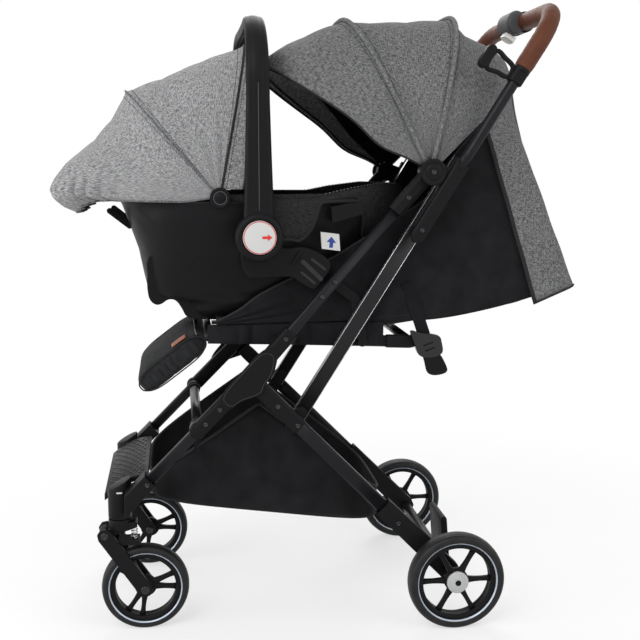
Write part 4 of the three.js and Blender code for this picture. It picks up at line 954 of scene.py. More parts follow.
@dataclass
class Assembly:
    """A sub-assembly and how its pieces are finished and carried.

    Attributes:
        frame: The loaded CAD frame.
        count: Pieces made so far.
    """

    frame: dict
    count: int = 0

    def add(self, obj: Object, finish: Finish, body: Optional[str], replaces: Names = ()) -> Object:
        """Finishes a piece and puts it on its body.

        Args:
            obj: The piece, in place.
            finish: Its finish.
            body: The CAD body that carries it, or None to leave it on no body.
            replaces: The CAD nodes that it stands for.

        Returns:
            The piece.
        """
        if not obj.data.materials:
            obj.data.materials.append(BOOK.get(finish))
        elif obj.data.materials[0] is None:
            obj.data.materials[0] = BOOK.get(finish)
        if body:
            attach(obj, body)
        if replaces:
            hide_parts(*replaces)
        self.count += 1
        log.info("%s: %s in %s on %s", type(self).__name__, obj.name, finish.name, body or "two bodies")
        return obj

    def turned(
        self, name: str, centre: Pair, shape: Sequence[Pair], finish: Finish, body: str,
        replaces: Names = (), sign: int = 1, edge: float = 0.0, closed: bool = False, segments: int = 48,
    ) -> Object:
        """Adds a profile turned about an axis along X."""
        obj = lathe(name, centre, [(x * sign, r) for x, r in shape], closed, segments)
        return self.add(rounded(obj, edge, SWEPT_SHARP) if edge else obj, finish, body, replaces)

    def cut(
        self, name: str, outline: Sequence[Pair], span: Pair, bevel: float, finish: Finish, body: str,
        replaces: Names = (), sign: int = 1,
    ) -> Object:
        """Adds a side-view outline drawn out along X."""
        return self.add(plate(name, outline, span[0] * sign, span[1] * sign, bevel), finish, body, replaces)

    def swept(
        self, name: str, path: Path, section: Array, finish: Finish, body: Optional[str],
        replaces: Names = (), up: Sequence[float] = (1, 0, 0), loop: bool = False,
        scale: Optional[Array] = None, edge: float = 0.0, sharp: float = SWEPT_SHARP,
    ) -> Object:
        """Adds a section swept along a path."""
        obj = tube(name, path, section, up, loop, scale)
        return self.add(rounded(obj, edge, sharp) if edge else obj, finish, body, replaces)

    def sewn(
        self, name: str, path: Array, finish: Finish, body: Optional[str], pitch: float = 6.0,
        length: float = 1.7, width: float = 0.45,
    ) -> Object:
        """Adds a row of stitches."""
        return self.add(stitch_line(name, path, finish, pitch, length, width), finish, body)

    def softened(self, node: str, name: str, radius: float, body: str, finish: Finish = PLASTIC) -> Object:
        """Adds a CAD node with rounded edges in the place of the plain one."""
        return self.add(soften(self.frame, node, name, radius), finish, body, [node])

    def screws(self, name: str, body: str, places: Sequence[Point], radius: float = 4.2) -> Object:
        """Adds domed screw heads with a socket, facing away from the middle.

        Args:
            name: Name of the piece.
            body: The body that carries them.
            places: X of the face and Y, Z of each screw.
            radius: Radius of a head.

        Returns:
            The piece.
        """
        shape = [(-1, 0.0), (-1, 1.0), (0.4, 1.0), (1.3, 0.86), (1.7, 0.62), (1.75, 0.46), (0.7, 0.4), (0.7, 0.0)]
        heads = []
        for k, (x, y, z) in enumerate(places):
            out = math.copysign(1.0, x)
            profile = [(x + out * dx, radius * r) for dx, r in shape]
            heads.append(lathe(f"{name}.{k}", (y, z), profile, segments=18))
        return self.add(joined(name, heads), GLOSS, body)


@dataclass(frozen=True)
class WheelSpec:
    """Sizes of one kind of wheel, in mm."""

    radius: float
    rim: float
    width: float
    hub: float
    unit: tuple[float, ...]
    repeats: int
    stripe: float


REAR_WHEEL = WheelSpec(85, 67, 32, 17, (0,), 6, 69.6)
FRONT_WHEEL = WheelSpec(75, 59, 30, 15, (23, -5), 3, 62.0)


@dataclass
class Wheel(Assembly):
    """A wheel: tyre, stripes, rim, spokes and hub."""

    spec: WheelSpec = REAR_WHEEL
    centre: Point = (0, 0, 0)
    tag: str = "rear"
    side: str = "left"
    groove: float = 0.9
    bulge: float = 2.6

    def build(self) -> None:
        """Makes the wheel's pieces."""
        self.tyre()
        self.rim()
        self.spokes()
        self.hub()

    @property
    def body(self) -> str:
        """The CAD body of the wheel."""
        return f"{self.tag}_wheel_{self.side}"

    @property
    def band(self) -> Pair:
        """Middle radius and half height of the tyre's section."""
        return (self.spec.radius + self.spec.rim) / 2 - 0.4, (self.spec.radius - self.spec.rim) / 2 + 0.4

    def ring(
        self, label: str, shape: Sequence[Pair], finish: Finish, replaces: Names = (), whole: bool = True
    ) -> None:
        """Adds a shape turned about the axle.

        Args:
            label: What the piece is.
            shape: Pairs of X off the wheel's middle and radius.
            finish: Its finish.
            replaces: The CAD nodes that it stands for.
            whole: Whether it is an open ring, and not a solid of revolution.
        """
        profile = [(self.centre[0] + dx, r) for dx, r in shape]
        name = f"{self.tag}_{label}_{self.side}"
        steps = 88 if whole else 48
        self.turned(name, self.centre[1:], profile, finish, self.body, replaces, closed=whole, segments=steps)

    def wall(self, radius: float) -> float:
        """How far the tyre reaches from its middle plane.

        Args:
            radius: Distance from the axle.

        Returns:
            The distance in mm.
        """
        middle, half = self.band
        share = min(abs((radius - middle) / half), 1.0)
        return self.spec.width / 2 * (1 - share**self.bulge) ** (1 / self.bulge)

    def tyre(self) -> None:
        """The tyre with its rounded walls, three shallow tread grooves and a stripe on each side."""
        middle, half = self.band
        profile = []
        for a, b in oval(self.spec.width, 2 * half, self.bulge, 56):
            depth = self.groove * sum(bell(a - g, 0.8) for g in (-7, 0, 7)) if b > half * 0.75 else 0.0
            profile.append((a, middle + b - depth))
        self.ring("tyre_skin", profile, RUBBER, [f"{self.tag}_tyre_{self.side}"])
        low, high = self.spec.stripe - 1.1, self.spec.stripe + 1.1
        for face in (-1, 1):
            band = [(face * (self.wall(r) + 0.35), r) for r in np.linspace(low, high, 7)]
            band += [(face * (self.wall(r) - 0.8), r) for r in (high, low)]
            self.ring("stripe_out" if face * self.centre[0] > 0 else "stripe_in", band, STRIPE)

    def rim(self) -> None:
        """The rim with its rolled lips."""
        shape = [(-11.5, -5.2), (-12.2, -2), (-12, 0.6), (-10, 1.2), (10, 1.2), (12, 0.6), (12.2, -2)]
        shape += [(11.5, -5.2), (10.4, -6.6), (8, -7.2), (4, -6.4), (0, -6.1), (-4, -6.4), (-8, -7.2)]
        shape += [(-10.4, -6.6)]
        profile = [(dx, self.spec.rim + dr) for dx, dr in shape]
        self.ring("rim_ring", profile, PLASTIC, [f"{self.tag}_rim_{self.side}"])

    def spokes(self) -> None:
        """The spokes, made once for a unit and repeated round the hub."""
        s = self.spec
        units = []
        shares = np.linspace(0, 1, 12)
        flare = 1 + 1.1 * (1 - shares) ** 4 + 0.5 * shares**7
        scale = np.column_stack([1 + 0.25 * (1 - shares) ** 2, flare])
        for k, degrees in enumerate(s.unit):
            dy, dz = direction(degrees)
            path = [(0, dy * r, dz * r) for r in s.hub - 4 + shares * (s.rim - 2 - s.hub)]
            units.append(tube(f"spoke.{k}", path, oval(9.5, 7.6, 3.4, 16), scale=scale))
        obj = joined(f"{self.tag}_spokes_{self.side}", units)
        REPEAT.apply(obj, "ring", PLASTIC, Count=s.repeats)
        obj.data.transform(Matrix.Translation(Vector(self.centre) * MM))
        self.add(obj, PLASTIC, self.body)

    def hub(self) -> None:
        """The hub barrel with its flange, and a rear wheel's cap."""
        out = math.copysign(1.0, self.centre[0])
        barrel = [(-14, 0), (-14, 0.8), (-13, 0.94), (-5, 1), (-4, 1.25), (4, 1.25), (5, 1), (12, 0.98)]
        barrel += [(13.4, 0.9), (13.6, 0.8), (13.6, 0)]
        dome = [(10, 0), (10, 1.12), (13.6, 1.12), (14.8, 1.05), (15.4, 0.92), (15.1, 0.86), (15.6, 0.8)]
        dome += [(15.9, 0.5), (16.0, 0)]
        self.ring("hub", [(out * dx, self.spec.hub * r) for dx, r in barrel], PLASTIC, whole=False)
        if self.tag == "rear":
            self.ring("hub_cap", [(out * dx, self.spec.hub * r) for dx, r in dome], CAP, whole=False)


@dataclass
class Caster(Assembly):
    """A swivelling front fork with its spring."""

    sign: int = 1
    side: str = "left"
    spring_ends: Pair = (162.6, 181.6)
    spring_y: float = -322.0
    spring_radius: float = 5.0
    wire: float = 1.9
    turns: float = 4.6
    caps: tuple[Point, ...] = ((-371, 174, 6.5), (*FRONT_AXLE, 7.5))

    def build(self) -> None:
        """Makes the caster's pieces."""
        side, sign, x0 = self.side, self.sign, CASTER_X * self.sign
        self.softened(f"swivel_housing_{side}", f"swivel_cap_{side}", 1.6, "frame")
        span = (CASTER_X + 19.4, CASTER_X + 20.9)
        tab = block((-349, 247.5), (-339.5, 250))
        self.cut(f"swivel_tab_{side}", tab, span, 0.5, PALE, "frame", sign=sign)
        self.softened(f"caster_yoke_{side}", f"caster_head_{side}", 1.8, f"caster_{side}")
        self.softened(f"caster_fork_{side}", f"caster_arms_{side}", 1.5, f"caster_arm_{side}")
        caps = []
        for y, z, radius in self.caps:
            shape = [(-1, 0), (-1, radius), (1, radius), (1.5, radius * 0.82), (1.5, radius * 0.5)]
            shape += [(0.7, radius * 0.42), (0.7, 0)]
            for face in (-1, 1):
                rim = [(x0 + face * (23 + dx), r) for dx, r in shape]
                caps.append(lathe(f"cap.{y}.{face}", (y, z), rim, segments=28))
        self.add(joined(f"fork_caps_{side}", caps), GLOSS, f"caster_arm_{side}")
        self.spring(x0)

    def spring(self, x0: float) -> None:
        """The coil spring between the yoke's beam and the fork's seat.

        Args:
            x0: X of the caster.
        """
        share = np.linspace(0, 1, 150)
        angle = share * self.turns * 2 * np.pi
        low, high = self.spring_ends
        rise = low + (high - low) * np.clip((share - 0.08) / 0.84, 0, 1)
        reach, body = self.spring_radius, f"caster_{self.side}"
        path = np.column_stack([x0 + reach * np.cos(angle), self.spring_y + reach * np.sin(angle), rise])
        coil = self.swept(
            f"coil_spring_{self.side}", path, circle(self.wire, 10), STEEL, body,
            [f"suspension_spring_{self.side}"], up=(0, 0, 1))
        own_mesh(coil)


@dataclass
class Chassis(Assembly):
    """The folding legs, knee joints, axle, brake, crossbar and footboard."""

    bar_half: float = 166.0
    bar_width: float = 18.0
    screw_face: float = 187.2
    socket_face: float = 189.6

    def build(self) -> None:
        """Makes the chassis pieces."""
        for sign, side in SIDES:
            self.front_leg(sign, side)
            self.knee(sign, side)
            self.rear_leg(sign, side)
            self.softened(f"hub_fitting_{side}", f"hub_socket_{side}", 1.6, "frame")
            self.softened(f"rear_foot_{side}", f"rear_shoe_{side}", 2.2, "rear_frame")
        self.softened("rear_axle", "cross_axle", 0.8, "rear_frame", TUBE)
        self.softened("brake_pedal", "brake_lever", 2.6, "brake")
        ends = [(-self.bar_half, *CROSSBAR), (self.bar_half, *CROSSBAR)]
        self.swept(
            "crossbar_tube", ends, circle(self.bar_width, 28), TUBE, "frame", ["front_crossbar"], up=(0, 1, 0))
        collar = [(166, 9.2), (166, 12.6), (150, 12.6), (148.6, 11.6), (148.6, 9.2)]
        for sign, side in SIDES:
            name = f"crossbar_collar_{side}"
            self.turned(name, CROSSBAR, collar, PLASTIC, "frame", sign=sign, closed=True, segments=32)
        self.footboard()

    def front_leg(self, sign: int, side: str) -> None:
        """The bent tube of a front leg and its screws.

        Args:
            sign: 1 for the left side, -1 for the right.
            side: Name of the side.
        """
        low, high = unit(LEG_FOOT, KNEE), unit(KNEE, HUB)
        path = at_x([LEG_FOOT, local(KNEE, low, -6), local(KNEE, high, 6), local(HUB, high, -20)], LEG_X * sign)
        self.swept(f"front_tube_{side}", path, oval(16, 19, 3.2, 28), TUBE, "frame", [f"front_leg_{side}"])
        spots = [local(LEG_FOOT, low, 4, 1), local(KNEE, high, 183), local(KNEE, high, 150)]
        spots += [local(HUB, high, -56)]
        faces = (self.socket_face, self.screw_face, self.screw_face, self.socket_face)
        self.screws(f"leg_screws_{side}", "frame", [(x * sign, *spot) for x, spot in zip(faces, spots)])

    def knee(self, sign: int, side: str) -> None:
        """The knee's two sockets, its cover plate and a thin grey line round it, a painted highlight along the
        cover's edge.

        Args:
            sign: 1 for the left side, -1 for the right.
            side: Name of the side.
        """
        low, high = unit(LEG_FOOT, KNEE), unit(KNEE, HUB)
        bend = [local(KNEE, low, -150), local(KNEE, low, -6), local(KNEE, high, 6), local(KNEE, high, 72)]
        self.swept(
            f"knee_socket_{side}", at_x(bend, LEG_X * sign), oval(23, 26, 4.2, 32), PLASTIC, "frame",
            [f"knee_joint_{side}"], edge=1.2)
        boss = [(168, 0), (168, 14), (187, 14), (189, 12), (189.4, 0)]
        self.turned(f"crossbar_boss_{side}", CROSSBAR, boss, PLASTIC, "frame", sign=sign, segments=32)
        spots = [(0, 0.3), (0.03, 0.59), (0.19, 0.68), (0.45, 1), (0.6, 0.89), (0.8, 0.78), (1, 0.38), (0.9, 0)]
        spots += [(0.5, -0.02), (0.08, 0.06)]
        outline = smooth([local(KNEE, low, -97 + 128 * a, -18 + 49 * b) for a, b in spots], 6, True)
        self.cut(f"knee_cover_{side}", outline, (187.2, 192), 2.2, PLASTIC, "frame", sign=sign)
        # A thin grey line inset in the cover's outline: a painted highlight along the cover's edge.
        middle = outline.mean(0)
        inner = at_x(resample(middle + (outline - middle) * 0.86, 90, True), 192.1 * sign)
        self.swept(f"knee_line_{side}", inner, oval(0.5, 0.6, 2, 8), HOUSING, "frame", loop=True)
        spots = [local(KNEE, low, -138.5), local(KNEE, low, -104.5), local(KNEE, high, 57)]
        self.screws(f"knee_screws_{side}", "frame", [(self.socket_face * sign, *spot) for spot in spots])

    def rear_leg(self, sign: int, side: str) -> None:
        """A rear leg: the socket at the knee, the tube and its screws.

        Args:
            sign: 1 for the left side, -1 for the right.
            side: Name of the side.
        """
        run = unit(KNEE_PIN, REAR_AXLE)
        x = LEG_X * sign
        path = at_x([local(KNEE_PIN, run, 20), local(KNEE_PIN, run, 322)], x)
        self.swept(f"rear_tube_{side}", path, oval(15, 24.6, 4, 28), TUBE, "rear_frame", [f"rear_leg_{side}"])
        shares = np.linspace(0, 1, 14)
        path = at_x([local(KNEE_PIN, run, -9 + 107 * s) for s in shares], x)
        ends = np.column_stack([np.ones(14), 0.82 + 0.18 * np.clip(shares * 6, 0, 1) ** 0.5])
        section = oval(17.5, 28.4, 4.6, 32)
        self.swept(f"rear_socket_{side}", path, section, PLASTIC, "rear_frame", scale=ends, edge=1.2)
        places = [(self.screw_face * sign, *local(KNEE_PIN, run, a)) for a in (44, 92)]
        self.screws(f"rear_screws_{side}", "rear_frame", places + [(188.4 * sign, 133.7, 178.8)], 4.4)

    def footboard(self) -> None:
        """The curved footboard with its raised dots."""
        self.softened("footboard", "foot_rest", 2.4, "frame")
        dots = []
        for i in range(6):
            for j in range(-8, 9):
                share = 0.12 + 0.8 * (i + 0.5 * (j % 2)) / 6
                y = -372 + 76 * share
                z = 236 + 32 * share + 9 * math.sin(math.pi * share)
                if math.hypot(abs(j * 13.6) - CASTER_X, y + 345) > 30:
                    dots.append((j * 13.6, y, z + 0.4))
        field_of_dots = link("foot_rest_dots", mesh_of("foot_rest_dots", dots, [], []))
        REPEAT.apply(field_of_dots, "dots", GLOSS, Radius=2.0 * MM, Height=1.1 * MM)
        self.add(field_of_dots, GLOSS, "frame")


@dataclass(frozen=True)
class PadSpec:
    """A cushion, in mm."""

    name: str
    node: str
    body: str
    start: Pair
    slope: float
    length: float
    half: float
    thick: float
    channels: int
    fill: float
    finish: Finish = CHARCOAL
    square: float = 4.5
    swell: float = 3.5


PADS = (
    PadSpec("seat_cushion", "seat_pad", "frame", (-178, 529.5), 0, 218, 144, 22.4, 3, 0.6),
    PadSpec("back_cushion", "backrest", "recliner", local((50, 520), direction(8), 6.3), 8, 318, 144, 26, 4, 0.6),
    PadSpec(
        "leg_cushion", "legrest", "leg_support", local((-188, 508), direction(217), 8.3), 217, 140, 128, 46, 1,
        0.8, square=7.0, swell=6.0),
)


@dataclass
class Cushion:
    """A stuffed pad, blown up by a cloth simulation that its seams hold back."""

    spec: PadSpec

    @property
    def run(self) -> Pair:
        """Direction of the pad's length."""
        return direction(self.spec.slope)

    def point(self, x: float, along: float, up: float) -> Point:
        """A point of space by its place on the pad."""
        y, z = local(self.spec.start, self.run, along, -up)
        return x, y, z

    def body(self) -> Object:
        """The plain shape that the stuffing starts from."""
        s = self.spec
        rows = []
        for share in np.arange(29) / 28:
            end = abs(2 * share - 1) ** 6
            half = (s.thick / 2 - 1.0) * (1 - 0.45 * end)
            wide = (s.half - 1.5) * (1 - 0.06 * end)
            along = 1.5 + (s.length - 3) * share
            rows.append([self.point(a * wide, along, b * half) for a, b in oval(2, 2, s.square, 56)])
        return grid(s.name, rows, wrap=True, caps=True)

    def held(self, x: Array, along: Array) -> Array:
        """Which points the seams hold.

        Args:
            x: X of the points.
            along: Their length along the pad.

        Returns:
            True for each held point.
        """
        s = self.spec
        near = np.abs(x) > s.half - 5
        for k in range(1, s.channels):
            near |= np.abs(along - s.length * k / s.channels) < 3.0
        return near

    def build(self) -> Object:
        """Shapes the pad.

        Returns:
            The pad as an object.
        """
        obj = self.body()
        remesh = obj.modifiers.new("Remesh", "REMESH")
        remesh.mode = "VOXEL"
        remesh.voxel_size = 5.5 * MM
        bake(obj)
        self.blow(obj)
        finer = obj.modifiers.new("Finer", "SUBSURF")
        finer.levels = finer.render_levels = 1
        bake(obj)
        self.unwrap(obj)
        obj.data.shade_smooth()
        return obj

    def along(self, points: Array) -> Array:
        """Lengths of points along the pad."""
        start, run = self.spec.start, self.run
        return (points[:, 1] - start[0]) * run[0] + (points[:, 2] - start[1]) * run[1]

    def blow(self, obj: Object) -> None:
        """Blows the pad up and keeps each point near where it began.

        Args:
            obj: The pad.
        """
        before = points_of(obj)
        group = obj.vertex_groups.new(name="seams")
        held = np.nonzero(self.held(before[:, 0], self.along(before)))[0]
        group.add([int(k) for k in held], 1.0, "REPLACE")
        cloth = obj.modifiers.new("Cloth", "CLOTH")
        wanted = {
            "quality": 6, "mass": 0.25, "tension_stiffness": 12, "compression_stiffness": 12,
            "bending_stiffness": 0.6, "use_pressure": True, "uniform_pressure_force": 4.0,
            "vertex_group_mass": group.name,
        }
        for key, value in wanted.items():
            setattr(cloth.settings, key, value)
        cloth.settings.effector_weights.gravity = 0.0
        cloth.collision_settings.use_collision = False
        cloth.point_cache.frame_start = 1
        cloth.point_cache.frame_end = 20
        scene = bpy.context.scene
        for frame in range(1, 21):
            scene.frame_set(frame)
        bake(obj)
        scene.frame_set(1)
        obj.vertex_groups.clear()
        move = points_of(obj) - before
        size = np.linalg.norm(move, axis=1)[:, None]
        move_points(obj, before + move * np.minimum(1.0, self.spec.swell / np.maximum(size, 1e-6)))

    def unwrap(self, obj: Object) -> None:
        """Gives the pad UV in metres, across and along.

        Args:
            obj: The pad.
        """
        p = points_of(obj)
        layer = obj.data.uv_layers.get("UVMap") or obj.data.uv_layers.new(name="UVMap")
        index = np.zeros(len(obj.data.loops), int)
        obj.data.loops.foreach_get("vertex_index", index)
        layer.data.foreach_set("uv", np.column_stack([p[index, 0], self.along(p)[index]]).ravel() * MM)

    def surface(self, x: Array, along: float, face: int = 1) -> Array:
        """Points across the plain shape's face, for stitches and piping.

        Args:
            x: X of the points.
            along: Their length along the pad.
            face: 1 for the upper face, -1 for the lower.

        Returns:
            The points.
        """
        s = self.spec
        end = abs(2 * along / s.length - 1) ** 6
        half = s.thick / 2 * (1 - 0.45 * end)
        out = []
        for a in x:
            high = max(1 - abs(a / (s.half * (1 - 0.06 * end))) ** s.square, 0.0) ** (1 / s.square)
            out.append(self.point(a, along, half * high * face))
        return np.array(out)


@dataclass
class SeatUnit(Assembly):
    """The seat: its tube frame, cushions, fabrics, strap and buckle."""

    rail_x: float = 138.0
    rail_ends: tuple[Pair, Pair] = ((-188, 508), (162, 492))
    side_x: float = 145.8
    panel_half: float = 151.1
    panel_corner: float = 14.0

    def build(self) -> None:
        """Makes the seat's pieces."""
        self.tubes()
        self.cushions()
        self.side_fabrics()
        self.rear_panel()
        self.strap()

    def rail_z(self, y: float) -> float:
        """Height of the seat rails' middle at a Y."""
        return 508 - 16 * (y + 188) / 350

    def cover_line(self, places: Sequence[float], x: float) -> Array:
        """Middle of the rail's cloth cover."""
        return at_x([(y, self.rail_z(y) + 5 + 0.03 * (y + 188)) for y in places], x)

    def tubes(self) -> None:
        """The rails with their end caps and covers, the links, their pins and the bars."""
        pins = [(18, 604, 5.7, 149.5, 169.7), (74, self.rail_z(74), 8, 138, 152.5), (60, 571, 7.2, 148.6, 156.2)]
        pins += [(-76.1, self.rail_z(-76.1), 8, 138, 166.2), (50, 520, 9.5, 132, 144)]
        taper = np.column_stack([np.ones(10), 1 - 0.35 * np.clip(np.linspace(-3, 1, 10), 0, 1) ** 2])
        cover = np.linspace(-190, 112, 20)
        tall = np.column_stack([np.ones(20), 1 + 0.0014 * (cover + 188)])
        for sign, side in SIDES:
            x = self.rail_x * sign
            nodes = ["seat_frame"] if sign > 0 else []
            self.swept(f"seat_rail_{side}", at_x(self.rail_ends, x), oval(12, 20, 3, 28), TUBE, "frame", nodes)
            end = at_x([(y, self.rail_z(y)) for y in np.linspace(118, 172, 10)], x)
            section = oval(14, 23, 3.4, 28)
            self.swept(f"seat_rail_end_{side}", end, section, PLASTIC, "frame", scale=taper, edge=1.5)
            for k, (a, b) in enumerate([((18, 604), (60, 571)), ((60, 571), (74, self.rail_z(74)))]):
                outline = bar_outline(a, b, 17)
                self.cut(f"seat_link_{k}_{side}", outline, (149.5, 155.5), 1.5, PLASTIC, "frame", sign=sign)
            for k, (y, z, r, low, high) in enumerate(pins):
                shape = [(low, 0), (low, r), (high, r), (high, 0)]
                name = f"seat_pin_{k}_{side}"
                self.turned(name, (y, z), shape, PLASTIC, "frame", sign=sign, edge=0.8, segments=28)
            section = oval(14.6, 32, 4, 32)
            path = self.cover_line(cover, x)
            self.swept(f"seat_rail_cover_{side}", path, section, BLACK_CLOTH, "frame", scale=tall)
            lug = bar_outline((50, self.rail_z(50)), (50, 520), 14)
            self.cut(f"back_lug_{side}", lug, (133, 143), 1.0, PLASTIC, "frame", sign=sign)
            for k, y in enumerate((-128, -28)):
                section = oval(16.2, 35 + 0.03 * (y + 128), 4, 32)
                path = self.cover_line((y - 11, y + 11), x)
                self.swept(f"velcro_band_{k}_{side}", path, section, WEBBING, "frame")
        bars = [("front", -188, 508, 16), ("rear", 162, 492, 16), ("slat", -69, 510, 16), ("back", 50, 520, 12)]
        for name, y, z, wide in bars:
            ends = [(-self.rail_x, y, z), (self.rail_x, y, z)]
            self.swept(f"seat_bar_{name}", ends, circle(wide, 24), TUBE, "frame", up=(0, 1, 0))

    def cushions(self) -> None:
        """The three cushions with their seams."""
        for spec in PADS:
            pad = Cushion(spec)
            obj = self.add(pad.build(), spec.finish, spec.body, [spec.node])
            edge = np.linspace(-spec.half + 4, spec.half - 4, 60)
            for k in range(1, spec.channels):
                line = pad.surface(edge, spec.length * k / spec.channels)
                self.sewn(f"{spec.name}_seam_{k}", line, DARK_THREAD, spec.body, 4.5)
        front = Cushion(PADS[0]).surface(np.linspace(-136, 136, 60), 9.0)
        self.leg_details(Cushion(PADS[-1]))
        self.sewn("seat_front_stitch", front, THREAD, "frame", 6, 1.7, 0.35)

    def leg_details(self, pad: Cushion) -> None:
        """The leg rest's side seams, piping and bare tag.

        Args:
            pad: The leg rest's cushion.
        """
        s = pad.spec
        share = 0.5 + 0.5 * bent(np.cos(around(60)), 0.5)
        half = s.thick / 2 * (1 - 0.45 * np.abs(2 * share - 1) ** 6)
        edge = np.column_stack([2 + (s.length - 4) * share, 0.86 * half * bent(np.sin(around(60)), 0.5)])
        for sign, side in SIDES:
            path = [pad.point((s.half - 4) * sign, a, b) for a, b in edge]
            self.swept(f"leg_seam_{side}", path, circle(2.4, 10), PIPING, s.body, loop=True)
        line = pad.surface(np.linspace(-120, 120, 80), 7.0, -1)
        self.swept("leg_piping", line, circle(3, 10), GREY_PIPING, s.body, up=(0, 0, 1))
        rows = [pad.surface(np.linspace(92, 116, 8), a, -1) + (0, -1.0, 1.2) for a in np.linspace(24, 54, 8)]
        self.add(thicken(grid("leg_tag", rows, inside=(105, -200, 440)), 1.0), COPPER, s.body)

    def side_fabrics(self) -> None:
        """The side fabrics, drawn from the rail up to the rear edge in soft pleats."""
        top = [(-184, 536), (-172, 537), (-135, 556), (-105, 578), (-67, 598), (-33, 614), (20, 640), (61, 664)]
        top += [(186, 742), (222, 802), (282, 872)]
        low = [(-184, 531.5), (-92, 532), (44, 532.5), (208, 532.2), (372, 566), (388, 590), (338.5, 714)]
        low += [(282, 872)]
        top, low = resample(smooth(top, 10), 60), resample(smooth(low, 10), 60)
        front = bell(np.linspace(0, 2.2, 60), 1.0)
        for sign, side in SIDES:
            rows = []
            for share in np.linspace(0, 1, 25):
                pull = np.sin(np.pi * share) * np.sin(np.pi * np.linspace(0, 1, 60))
                wave = 0.9 * np.sin(np.linspace(0, 30, 60) + 4 * share)
                wave += 0.5 * np.sin(np.linspace(0, 71, 60) - 7 * share)
                pleat = 2.4 * math.sin(share * 21) * front * math.sin(math.pi * min(share * 1.1, 1))
                x = (self.side_x + pull * wave + pleat) * sign
                rows.append(np.column_stack([x, low + (top - low) * share]))
            cloth = thicken(grid(f"seat_side_{side}", rows, inside=(0, 100, 640)), 1.2, 0)
            self.add(cloth, BLACK_CLOTH, None, [f"side_fabric_{side}"])
            hem = self.swept(f"seat_side_hem_{side}", at_x(top, 146 * sign), oval(2.6, 4.2, 2, 10), PIPING, None)
            foot = smooth([(96, 536), (150, 540), (190, 536), (226, 542)], 10)
            seam = self.sewn(f"seat_side_seam_{side}", at_x(foot, 147.1 * sign), DARK_THREAD, None, 5)
            for piece in (cloth, hem, seam):
                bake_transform(piece)

    def panel_rows(self) -> list[Array]:
        """Sections of the rear panel from its top, under the canopy's rear hem, to its bottom."""
        hem = Canopy(self.frame).row(CANOPY.arches[-1][0], -3.0)
        hem = hem[hem[:, 0] >= 0][::-1]
        half, radius, turns = self.panel_half, self.panel_corner, np.linspace(0, np.pi / 2, 9)
        rows = []
        for share in np.linspace(0, 1, 33):
            rear, back = 332 + 124 * share, 60 + 16 * share
            side = [(half, rear - back)]
            side += [(half - radius + radius * math.cos(t), rear - radius + radius * math.sin(t)) for t in turns]
            line = resample(np.array(side + [(-x, y) for x, y in reversed(side)]), 56)
            across, ahead = np.abs(line[:, 0]), line[:, 1].max() - line[:, 1]
            sag = 2.5 * bell(line[:, 0], 90) * math.sin(math.pi * share)
            fold = 1.1 * math.sin(7 * share * math.pi) * bell(across - 118, 30)
            pull = max(1 - share / 0.42, 0) ** 2 * np.clip((30 - ahead) / 30, 0, 1)
            y = line[:, 1] - sag - fold + (np.interp(across, hem[:, 0], hem[:, 1]) - 2 - 332) * pull
            z = 893 - 305 * share - 0.42 * share * ahead
            z = z + (np.interp(across, hem[:, 0], hem[:, 2]) + 3 - 893) * pull
            rows.append(np.column_stack([line[:, 0], y, z]))
        return rows

    def rear_panel(self) -> None:
        """The grey panel round the back of the seat, bound at its edges."""
        rows = self.panel_rows()
        panel = grid("rear_cover", rows, inside=(0, 250, 740))
        panel.data.materials.append(BOOK.get(MELANGE))
        panel.data.materials.append(BOOK.get(LINING))
        self.add(thicken(panel, 2.2), MELANGE, None, ["rear_panel"])
        strips = []
        for sign, side in SIDES:
            edge = np.array([row[0 if sign > 0 else -1] for row in rows]) + (0, 2.5, 0)
            corner = np.array([row[13 if sign > 0 else 42] for row in rows]) + (1.0 * sign, 0.8, 0)
            strips.append(self.swept(f"rear_binding_{side}", edge, oval(3.4, 7, 3, 14), PIPING, None))
            strips.append(self.swept(f"rear_welt_{side}", corner, circle(3, 10), GREY_PIPING, None))
        for name, row in (("top", rows[0]), ("bottom", rows[-1])):
            section = oval(3.2, 3.6, 2, 12)
            strips.append(self.swept(f"rear_binding_{name}", row, section, PIPING, None, up=(0, 0.3, 1)))
        for piece in [panel, *strips]:
            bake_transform(piece)

    def strap(self) -> None:
        """The webbing strap down the side and the buckle on its end."""
        top, foot = (152, 597), (184, 504)
        run = unit(top, foot)
        path = at_x([top, foot, local(foot, run, 9)], 147.9)
        self.swept("side_strap", path, oval(1.6, 22, 5, 16), WEBBING, "frame", ["strap"])
        upper = [(158, 513), (176, 510), (206, 505), (213, 492), (214, 474), (196, 466), (174, 470), (164, 492)]
        lower = [(182, 474), (207, 474), (220, 456), (224, 440), (206, 434), (190, 438), (184, 456)]
        self.cut("strap_buckle", smooth(upper, 4, True), (148.9, 160), 3.0, GLOSS, "frame", ["buckle"])
        self.cut("strap_buckle_tongue", smooth(lower, 4, True), (150, 158), 2.4, PLASTIC, "frame")
        for k, along in enumerate((14, 24)):
            ends = [local(foot, run, along, -9), local(foot, run, along, 9)]
            self.swept(f"buckle_rib_{k}", at_x(ends, 160), oval(1.4, 3, 2, 10), PLASTIC, "frame")


